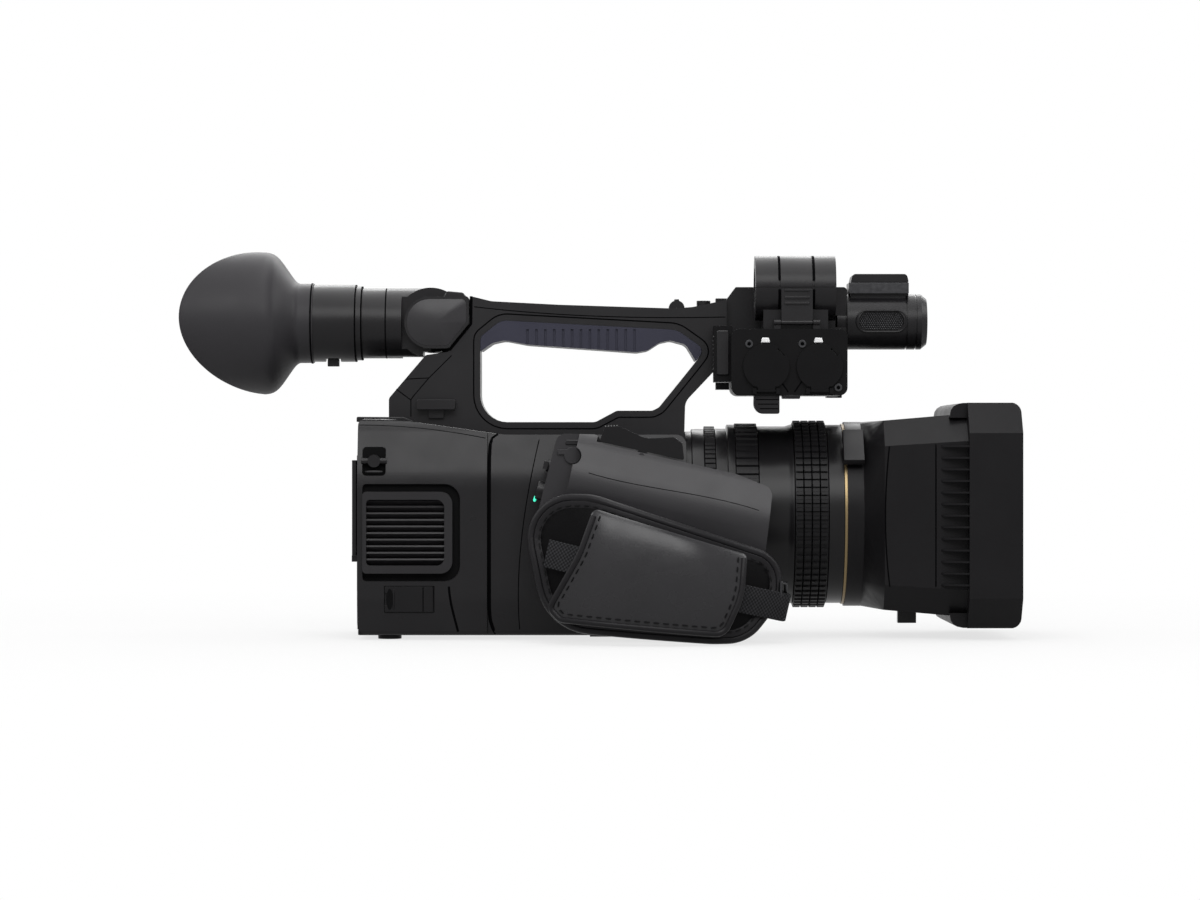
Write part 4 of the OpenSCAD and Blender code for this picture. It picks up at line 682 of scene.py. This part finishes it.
def seam(name, xz, y, body="camcorder", width=0.5, proud=0.05):
    """A parting line: a thin dark strip carried along a side-view line on the face at y."""
    profile = slab(width, 2 * proud, proud / 2, 1)
    piece(name, carried(at_side(xz, y), profile, ACROSS), body, seam_dark_and_painted_shade)


def bars(name, centres, direction, length, width, height, body, finish):
    """Small rounded bars of one size, all along one direction; height is measured away from the middle."""
    d = np.asarray(direction, float)
    side = np.cross(d, ACROSS) if abs(d[1]) < 0.9 else np.array([0, 0, 1.0])
    shape = pillow(length, width, height, 7, 8)
    piece(name, repeated(shape, centres, d, side, np.cross(d, side)), body, finish)


def casing_lines():
    """Parting lines and grooves of the casing's right side, and the grip's crease."""
    groove = spaced(np.array([(-72.5, 104.0), (-75.4, 102.2), (-76.7, 98.5), (-77, 92), (-77, 16),
                              (-76.6, 10), (-75.2, 5.6), (-73.6, 3.0)]), 60, False)
    shoulder = curve([(-143.4, 108.8), (-128, 108.4), (-112, 107.2), (-95, 105), (-79, 102.2)])
    mid = curve([(-51.8, 101.5), (-57.5, 72), (-62.0, 40.4), (-61.8, 20), (-61.6, 3.2)])
    crease = curve([(-97.4, 27.0), (-96.6, 20), (-94.6, 11), (-92.8, 4.0)])
    for name, line, reach, width in (("rear_cover_groove", groove, MID_REACH, 1.8),
                                     ("rear_cover_shoulder", shoulder, REAR_REACH, 0.5),
                                     ("mid_cover_line", mid, MID_REACH, 0.5),
                                     ("rear_cover_crease", crease, REAR_REACH, 1.2)):
        seam(name, line, casing_side(line[:, 1], reach), width=width)
    grip = curve([(-26.4, 85.2), (-21.3, 82.6), (0, 78.8), (29.1, 73.2), (58.6, 66.0)])
    seam("grip_line", grip, grip_side(grip[:, 0], grip[:, 1]), width=0.4)


def rear_details():
    """Painted shade on the vent moat and hook pocket floors and in the terminal cover's scoop; its line and
    pull; the top plate.
    """
    moat = [spaced(rounded([[-141.3, 37.6 - g, 2], [g - 99.7, 37.6 - g, 4 + g / 2],
                            [g - 99.7, 71.0 + g, 4 + g / 2], [-141.3, 71.0 + g, 2]]), 160, True)
            for g in (4.1, 7.8)]
    # A near-black sheet on the moat's floor: painted shade in the recess.
    piece("vent_moat_painted_shade", at_side(moat, MOAT_FLOOR), "camcorder", inner_black_and_painted_shade, caps=False)
    # A thin near-black sheet on the hook pocket's floor: painted shade in the recess.
    pocket = plate(box_outline(-141.2, -129.8, 83.4, 97.8, 1.8), POCKET_FLOOR, POCKET_FLOOR + 0.28, 0.1)
    piece("hook_pocket_painted_shade", pocket, "camcorder", inner_black_and_painted_shade)
    bars("hook_lip", [(-135.5, -54.0, 85.2)], (1, 0, 0), 9.0, 1.5, 1.6, "camcorder", casing_black)
    seam("terminal_cover_line", [(-110.5, 14.4), (-110.5, 26.6)], TERMINAL_FACE - 0.03, "terminal_cover")
    # The scoop is a flat near-black oval on the cover's face: painted shade standing in for its hollow.
    scoop = circle(1.0, 24) * [1.7, 5.4] + [-127.4, 20.5]
    piece("terminal_cover_scoop_shade", plate(scoop, TERMINAL_FACE - 0.08, TERMINAL_FACE + 0.1, 0.1),
          "terminal_cover", inner_black_and_painted_shade)
    bars("terminal_cover_pull", [(-125.4, TERMINAL_FACE - 0.1, 20.5)], (0, 0, 1), 10.6, 1.1, 0.9,
         "terminal_cover", ring_rubber)
    top = rounded([[-145.2, 110.6, 0.3], [-145.2, 113.2, 0.8], [-121, 113.0, 1.5], [-116.4, 111.0, 0.5],
                   [-116.4, 109.0, 0.3]])
    piece("rear_top_plate", plate(top, -38.0, 38.0), "camcorder", casing_black)


def hood_lines():
    """Lines on the hood's sides: the curved start of the side panel and the seam ahead of the fins."""
    start = curve([(125.8, 98.0), (124.2, 80), (123.9, 62.8), (124.2, 45), (126.0, 27.0)])
    front = np.array([(149.2, 99.0), (149.2, 27.0)])
    for side, sign in SIDES:
        for name, xz in (("panel", start), ("front", front)):
            seam(f"hood_line_{name}_{side}", xz, sign * (57.02 + (xz[:, 0] - 123.5) / 15), width=0.7)


def focus_gap_shade():
    """Painted shade: dark strips on the floors of the three gaps between the focus ring's rows of blocks."""
    strip = [[-0.34, 47.3], [-0.34, 47.56], [0.34, 47.56], [0.34, 47.3]]
    rings = np.stack([turned(strip, (x, 0, LENS_Z)) for x in (83.08, 87.25, 91.43)])
    # These rings are painted shade: the gaps' floors drawn near black.
    piece("focus_ring_gap_shade", rings, "focus_ring", seam_dark_and_painted_shade, wrap=(True, True))


def left_lines():
    """Plain lines on the hidden left side: a parting groove, and the outlines of a panel and a hatch."""
    rear = np.stack([np.full(30, -77.0), np.linspace(3.5, 99, 30)], -1)
    seam("left_cover_groove", rear, left_side(rear[:, 1]) + 0.1, width=1.4, proud=0.2)
    for name, outline, count in (("panel", box_outline(-64, 16, 26, 79, 5), 120),
                                 ("hatch", box_outline(-136, -90, 12, 42, 4), 100)):
        loop = spaced(outline, count, True)
        path = at_side(loop, left_side(loop[:, 1]) + 0.08)
        looped(f"left_{name}_line", path, slab(0.9, 0.4, 0.1, 1), "camcorder", seam_dark_and_painted_shade)


def left_controls():
    """Plain controls on the hidden left side: keys, a slide plate, a ribbed dial, knobs and sound slots."""
    for row, z in enumerate((36.0, 47.0, 58.0)):
        for col, x in enumerate((-54.0, -39.0, -24.0)):
            key = plate(slab(9.6, 4.6, 1.6) + [x, z], 59.0, 57.6)
            piece(f"left_key_{row + 1}_{col + 1}", key, "camcorder", button_grey)
    slide = plate(slab(24, 6.4, 3.0, 6) + [-39.0, 70.5], 58.5, 57.6)
    piece("left_slide_plate", slide, "camcorder", inner_black_and_painted_shade)
    dial = turned([[57.5, DIAL_R], [61.4, DIAL_R], [62.2, 10.8], [62.2, 6.0], [61.7, 5.2], [61.7, 0.05]],
                  (DIAL_X, 0, DIAL_Z), "y", 72)
    piece("left_dial", dial, "camcorder", button_grey)
    a = np.arange(36) * TAU / 36
    around = np.stack([np.cos(a), 0 * a, -np.sin(a)], -1)
    out = np.stack([np.sin(a), 0 * a, np.cos(a)], -1)
    ribs = repeated(pillow(3.4, 0.9, 1.0), [DIAL_X, 59.4, DIAL_Z] + DIAL_R * out, ACROSS, around, out)
    piece("left_dial_ribs", ribs, "camcorder", button_grey)
    for i, x in enumerate((-8.0, 8.0)):
        knob = turned([[57.5, 4.2], [59.4, 4.2], [60.0, 3.6], [60.0, 0.05]], (x, 0, 38.0), "y", 40)
        piece(f"left_knob_{i + 1}", knob, "camcorder", button_grey)
    slots = np.stack([np.full(7, -113.0), np.full(7, 57.96), np.linspace(56.0, 77.0, 7)], -1)
    bars("left_sound_slots", slots, (1, 0, 0), 24.0, 1.5, 0.16, "camcorder", seam_dark_and_painted_shade)


def finder_details():
    """Grooves round the viewfinder tube, domed cheeks on its hinge, bumps on top, the slot beside them."""
    for name, x, r in (("rear", -147.4, 20.0), ("front", -144.2, 19.2), ("middle", -131.6, 18.2)):
        strip = [[0.35, r - 0.3], [0.35, r + 0.05], [-0.35, r + 0.05], [-0.35, r - 0.3]]
        piece(f"finder_groove_{name}", turned(strip, (x, 0, FINDER_Z)), "viewfinder", seam_dark_and_painted_shade,
              wrap=(True, True))
    cheek = rounded([[-120.4, 150.0, 11.8], [-120.4, 174.0, 11.8], [-89.9, 174.0, 2.5], [-89.9, 162.0, 3],
                     [-99.6, 150.0, 3]])
    bump = rounded([[-101.5, 174.6, 0.5], [-100.2, 178.2, 2], [-91.2, 177.4, 2], [-89.8, 174.6, 0.5]])
    slot = spaced([(-87.3, 175.6), (-87.4, 161.4), (-98.3, 148.0), (-108, 147.6)], 30, False)
    for side, sign in SIDES:
        piece(f"finder_cheek_{side}", domed(cheek, sign * 18.8, sign * 19.2, sign * 2.4), "camcorder",
              grip_grey)
        piece(f"finder_bump_{side}", plate(bump, sign * 18.4, sign * 13.0), "camcorder", handle_black)
        seam(f"finder_slot_{side}", slot, sign * (HANDLE_SIDE + 0.03), width=1.5)


def handle_lines():
    """Parting lines on both sides of the handle: along its top, round its hole, and on its rear post."""
    top = curve([(-85.8, 170.2), (-60, 167.4), (-20, 165.4), (15, 164.4), (44, 164.9)])
    hole = rounded([[-82.6, 110.6, 14], [-82.6, 154.6, 4], [-72, 163.2, 9], [18.9, 158.3, 12],
                    [33.5, 148, 4], [27, 139.6, 2], [9.7, 118.2, 6], [6.2, 116.5, 4], [-12.2, 116.5, 4],
                    [-23.2, 110.6, 6]])
    rim = spaced(inset(spaced(hole, 300, True), -3.4), 200, True)
    panel = spaced([(-118.4, 113.4), (-118.4, 122.5), (-109.1, 133.4), (-97.4, 145.0)], 24, False)
    bridge = [(-120.8, 132.8), (-109.1, 133.4)]
    low = [(-126.0, 127.6), (-118.4, 122.0)]
    for side, sign in SIDES:
        y = sign * (HANDLE_SIDE + 0.02)
        for name, line in (("top", top), ("panel", panel), ("bridge", bridge), ("low", low)):
            seam(f"handle_line_{name}_{side}", line, y)
        looped(f"handle_rim_{side}", at_side(rim, y), slab(0.7, 0.3, 0.1, 1), "camcorder", seam_dark_and_painted_shade)


def connector_details():
    """Connector box: release tabs, strap lines, clip, switch plate and teeth, clamp bands, screw sockets."""
    for name, x in (("1", 63.2), ("2", 90.1)):
        tab = rounded([[x - 2.4, 150.6, 0.4], [x + 2.4, 150.6, 0.4], [x + 1.7, 153.2, 0.4],
                       [x - 1.7, 153.2, 0.4]])
        piece(f"release_tab_{name}", plate(tab, BOX_FACE - 1.1, BOX_FACE + 0.2), "camcorder", tab_white)
    for name, line in (("1", [(71.1, 130.9), (74.8, 125.6)]), ("2", [(81.6, 130.9), (77.9, 125.6)])):
        seam(f"cap_strap_line_{name}", line, BOX_FACE - 0.02, width=0.7)
    clip = plate(box_outline(71.6, 80.8, 122.2, 124.2, 0.5), BOX_FACE - 0.3, BOX_FACE + 8.0)
    piece("box_clip", clip, "camcorder", casing_black)
    switch = plate(box_outline(38.8, 45.0, 134.4, 157.2, 1), -41.3, -39.8)
    piece("switch_plate", switch, "camcorder", button_grey)
    teeth = np.stack([np.full(9, 37.4), np.full(9, -36.0), np.linspace(138.0, 154.0, 9)], -1)
    bars("switch_teeth", teeth, ACROSS, 8.0, 1.1, 1.5, "camcorder", button_grey)
    for i, z in enumerate((121.8, 119.5, 117.2)):
        seam(f"clamp_band_{i + 1}", [(58.4 + i, z), (69.9, z)], BOX_FACE + 0.97)
    for i, (x, z) in enumerate(((54.9, 150.1), (81.9, 150.1), (100.2, 127.9))):
        well = turned([[-0.83, 0.02], [-0.83, 1.05], [-0.7, 1.2], [-0.7, 0.02]], (x, BOX_FACE, z), "y", 6)
        piece(f"screw_socket_{i + 1}", well, "camcorder", seam_dark_and_painted_shade)


def microphone_mesh():
    """Rows of small domes, every other row shifted by half a step, kept inside a rounded slot."""
    step, half_w, half_h = 1.15, 11.2, 4.2
    a, b = np.meshgrid(np.arange(-12, 13), np.arange(-5, 6), indexing="ij")
    u = (a + 0.5 * (b % 2)) * step
    v = b * step * 0.87
    inside = np.hypot(np.maximum(np.abs(u) - (half_w - half_h), 0), v) < half_h
    spots = np.stack([MIC_X + u[inside], MIC_Z + v[inside]], -1)
    dome = turned([[0.0, 0.52], [0.22, 0.42], [0.34, 0.05]], (0, 0, 0), "y", 8)
    for side, sign in SIDES:
        dots = repeated(dome, at_side(spots, sign * 12.22), (1, 0, 0), (0, sign, 0), (0, 0, 1))
        piece(f"microphone_mesh_{side}", dots, "camcorder", dark_steel, sharp=80)


def microphone_rims():
    """A raised oval rim round each mesh, laid on the microphone's round side."""
    oval = spaced(slab(26.0, 11.0, 5.4, 10), 90, True)
    for side, sign in SIDES:
        path = at_side(oval + [MIC_X, MIC_Z], sign * np.sqrt(MIC_R ** 2 - oval[:, 1] ** 2))
        looped(f"microphone_rim_{side}", path, circle(0.55, 8), "camcorder", casing_black)


def holder_bands():
    """Dark grooves across the microphone holder, on its cap and on the near side of its base."""
    for name, body, low, high in (("cap", "holder_cap", 12, 168), ("base", "camcorder", 184, 222)):
        a = np.radians(np.linspace(low, high, 40))
        for i, x in enumerate((70.5, 88.0)):
            arc = np.stack([np.full(40, x), HOLDER_Y + HOLDER_R * np.cos(a),
                            HOLDER_Z + HOLDER_R * np.sin(a)], -1)
            piece(f"holder_groove_{name}_{i + 1}", carried(arc, slab(0.16, 1.3, 0.05, 1), (1, 0, 0)), body,
                  seam_dark_and_painted_shade)


def rocker_teeth():
    """Ribs across both ends of the zoom rocker, in its sloping frame."""
    ends = np.vstack([np.linspace((-20.6, 10.5), (-15.2, 12.05), 5),
                      np.linspace((14.2, 12.5), (18.3, 10.7), 4)])
    x = ends[:, 0] * math.cos(GRIP_TURN) + ends[:, 1] * math.sin(GRIP_TURN)
    z = -ends[:, 0] * math.sin(GRIP_TURN) + ends[:, 1] * math.cos(GRIP_TURN) + 93.2
    centre = at_side(np.stack([x, z], -1), -71.0)
    teeth = repeated(pillow(14.6, 0.9, 1.1, 5, 8), centre, (0, -1, 0), (1, 0, 0), (0, 0, 1))
    piece("zoom_rocker_teeth", teeth, "zoom_rocker", button_grey)


def grip_details():
    """Lamp beside the record button, and the small oval button over the remote socket."""
    lamp = repeated(pillow(3.0, 2.0, 1.6, 7, 10), [(-53.6, -64.6, 71.6)], (0.247, 0, 0.969), ACROSS,
                    (-0.969, 0, 0.247))
    piece("record_lamp", lamp, "record_button", lamp_green)
    oval = plate(slab(9.6, 2.6, 1.25, 6) + [-33.6, 100.0], -74.7, -73.6, 0.35)
    piece("grip_oval_button", oval, "camcorder", button_grey)


casing_lines()
rear_details()
hood_lines()
focus_gap_shade()
left_lines()
left_controls()
finder_details()
handle_lines()
connector_details()
microphone_mesh()
microphone_rims()
holder_bands()
rocker_teeth()
grip_details()


# Studio, in metres

EYE_AT = (-0.0208, -2.184, 0.0962)
FLOOR_HALF, FLOOR_LINES, FLOOR_DROP = 6, 25, 0.0002
LAMPS = (("top_box", (0.0, 0.0, 1.25), (-0.01, 0.0, 0.1), (1.7, 0.6), 12),
         ("front_box", (0.0, -1.21, 0.98), (0.0, 0.0, 0.1), (1.8, 0.7), 23),
         ("back_box", (0.0, 1.21, 0.98), (0.0, 0.0, 0.1), (1.8, 0.7), 16),
         ("left_box", (-1.25, 0.1, 0.8), (-0.05, 0.0, 0.1), (0.6, 0.6), 6),
         ("right_box", (1.25, 0.1, 0.8), (0.05, 0.0, 0.1), (0.6, 0.6), 6))
scene = bpy.context.scene


def photo_view():
    """Camera square to the right side, at the distance that the outlines were read with."""
    eye = bpy.data.cameras.new("photo_view")
    eye.sensor_width = 36
    eye.lens = 126
    eye.clip_end = 50
    camera = bpy.data.objects.new("photo_view", eye)
    camera.location = EYE_AT
    camera.rotation_euler = (math.pi / 2, 0, 0)
    scene.collection.objects.link(camera)
    scene.camera = camera


def surroundings():
    """White for rays that are seen; for light that falls on things, a grey that rises with height."""
    world = bpy.data.worlds.new("studio")
    scene.world = world
    world.use_nodes = True
    tree = world.node_tree
    place = tree.nodes.new("ShaderNodeTexCoord")
    split = tree.nodes.new("ShaderNodeSeparateXYZ")
    ramp = tree.nodes.new("ShaderNodeMapRange")
    for key, value in (("From Min", -0.2), ("From Max", 1.0), ("To Min", 0.03), ("To Max", 0.35)):
        ramp.inputs[key].default_value = value
    rays = tree.nodes.new("ShaderNodeLightPath")
    bounced = tree.nodes.new("ShaderNodeMath")
    bounced.operation = "MAXIMUM"
    seen = tree.nodes.new("ShaderNodeMath")
    seen.operation = "MAXIMUM"
    level = tree.nodes.new("ShaderNodeMix")
    level.data_type = "FLOAT"
    level.inputs[3].default_value = 1.0
    link = tree.links.new
    link(place.outputs["Generated"], split.inputs[0])
    link(split.outputs[2], ramp.inputs["Value"])
    link(rays.outputs["Is Glossy Ray"], bounced.inputs[0])
    link(rays.outputs["Is Transmission Ray"], bounced.inputs[1])
    link(rays.outputs["Is Camera Ray"], seen.inputs[0])
    link(bounced.outputs[0], seen.inputs[1])
    link(seen.outputs[0], level.inputs[0])
    link(ramp.outputs["Result"], level.inputs[2])
    link(level.outputs[0], tree.nodes["Background"].inputs["Strength"])
    tree.nodes["Background"].inputs["Color"].default_value = (1, 1, 1, 1)


def floor_finish():
    """Pale floor: grey for light that falls on it; seen, it fades from a soft shadow to white by distance."""
    f = Finish("studio_floor")
    f.set(Base_Color=(0.3, 0.3, 0.3), Roughness=0.9)
    path = f.node("LightPath")
    glow = f.node("Emission", {"Color": (1, 1, 1, 1), "Strength": 1.0})
    pale = f.node("BsdfDiffuse", {"Color": (0.5, 0.5, 0.5, 1)})
    bounced = f.math("MAXIMUM", path.outputs["Is Glossy Ray"], path.outputs["Is Transmission Ray"])
    seen = f.math("MAXIMUM", path.outputs["Is Camera Ray"], bounced)
    away = f.node("VectorMath", {0: f.place.outputs["Object"]}, operation="LENGTH").outputs["Value"]
    share = f.spread(away, 0.74, 1.0, 0.16, 0.75)
    shown = f.node("MixShader", {0: share, 1: pale.outputs[0], 2: glow.outputs[0]})
    mix = f.node("MixShader", {0: seen, 1: f.shader.outputs[0], 2: shown.outputs[0]})
    f.tree.links.new(mix.outputs[0], f.tree.nodes["Material Output"].inputs["Surface"])
    return f.material


def pale_floor():
    """A flat square grid just under the object."""
    side = np.linspace(-FLOOR_HALF, FLOOR_HALF, FLOOR_LINES)
    x, y = np.meshgrid(side, side, indexing="ij")
    mesh = bpy.data.meshes.new("studio_floor")
    mesh.from_pydata(np.stack([x, y, 0 * x - FLOOR_DROP], -1).reshape(-1, 3).tolist(), [],
                     grid_faces(FLOOR_LINES, FLOOR_LINES, False, False).tolist())
    mesh.materials.append(floor_finish())
    floor = bpy.data.objects.new("studio_floor", mesh)
    scene.collection.objects.link(floor)


def soft_lamps():
    """Broad lamps round the object, each turned to its aim: its back is the unit line from aim to lamp."""
    for name, at, aim, size, power in LAMPS:
        data = bpy.data.lights.new(name, "AREA")
        data.shape = "RECTANGLE"
        data.size, data.size_y = size
        data.energy = power
        lamp = bpy.data.objects.new(name, data)
        back = np.array(at, float) - np.array(aim, float)
        back /= np.linalg.norm(back)
        lamp.location = at
        lamp.rotation_euler = (math.acos(back[2]), 0, math.atan2(back[0], -back[1]))
        scene.collection.objects.link(lamp)


scene.view_settings.view_transform = "Standard"
photo_view()
surroundings()
pale_floor()
soft_lamps()
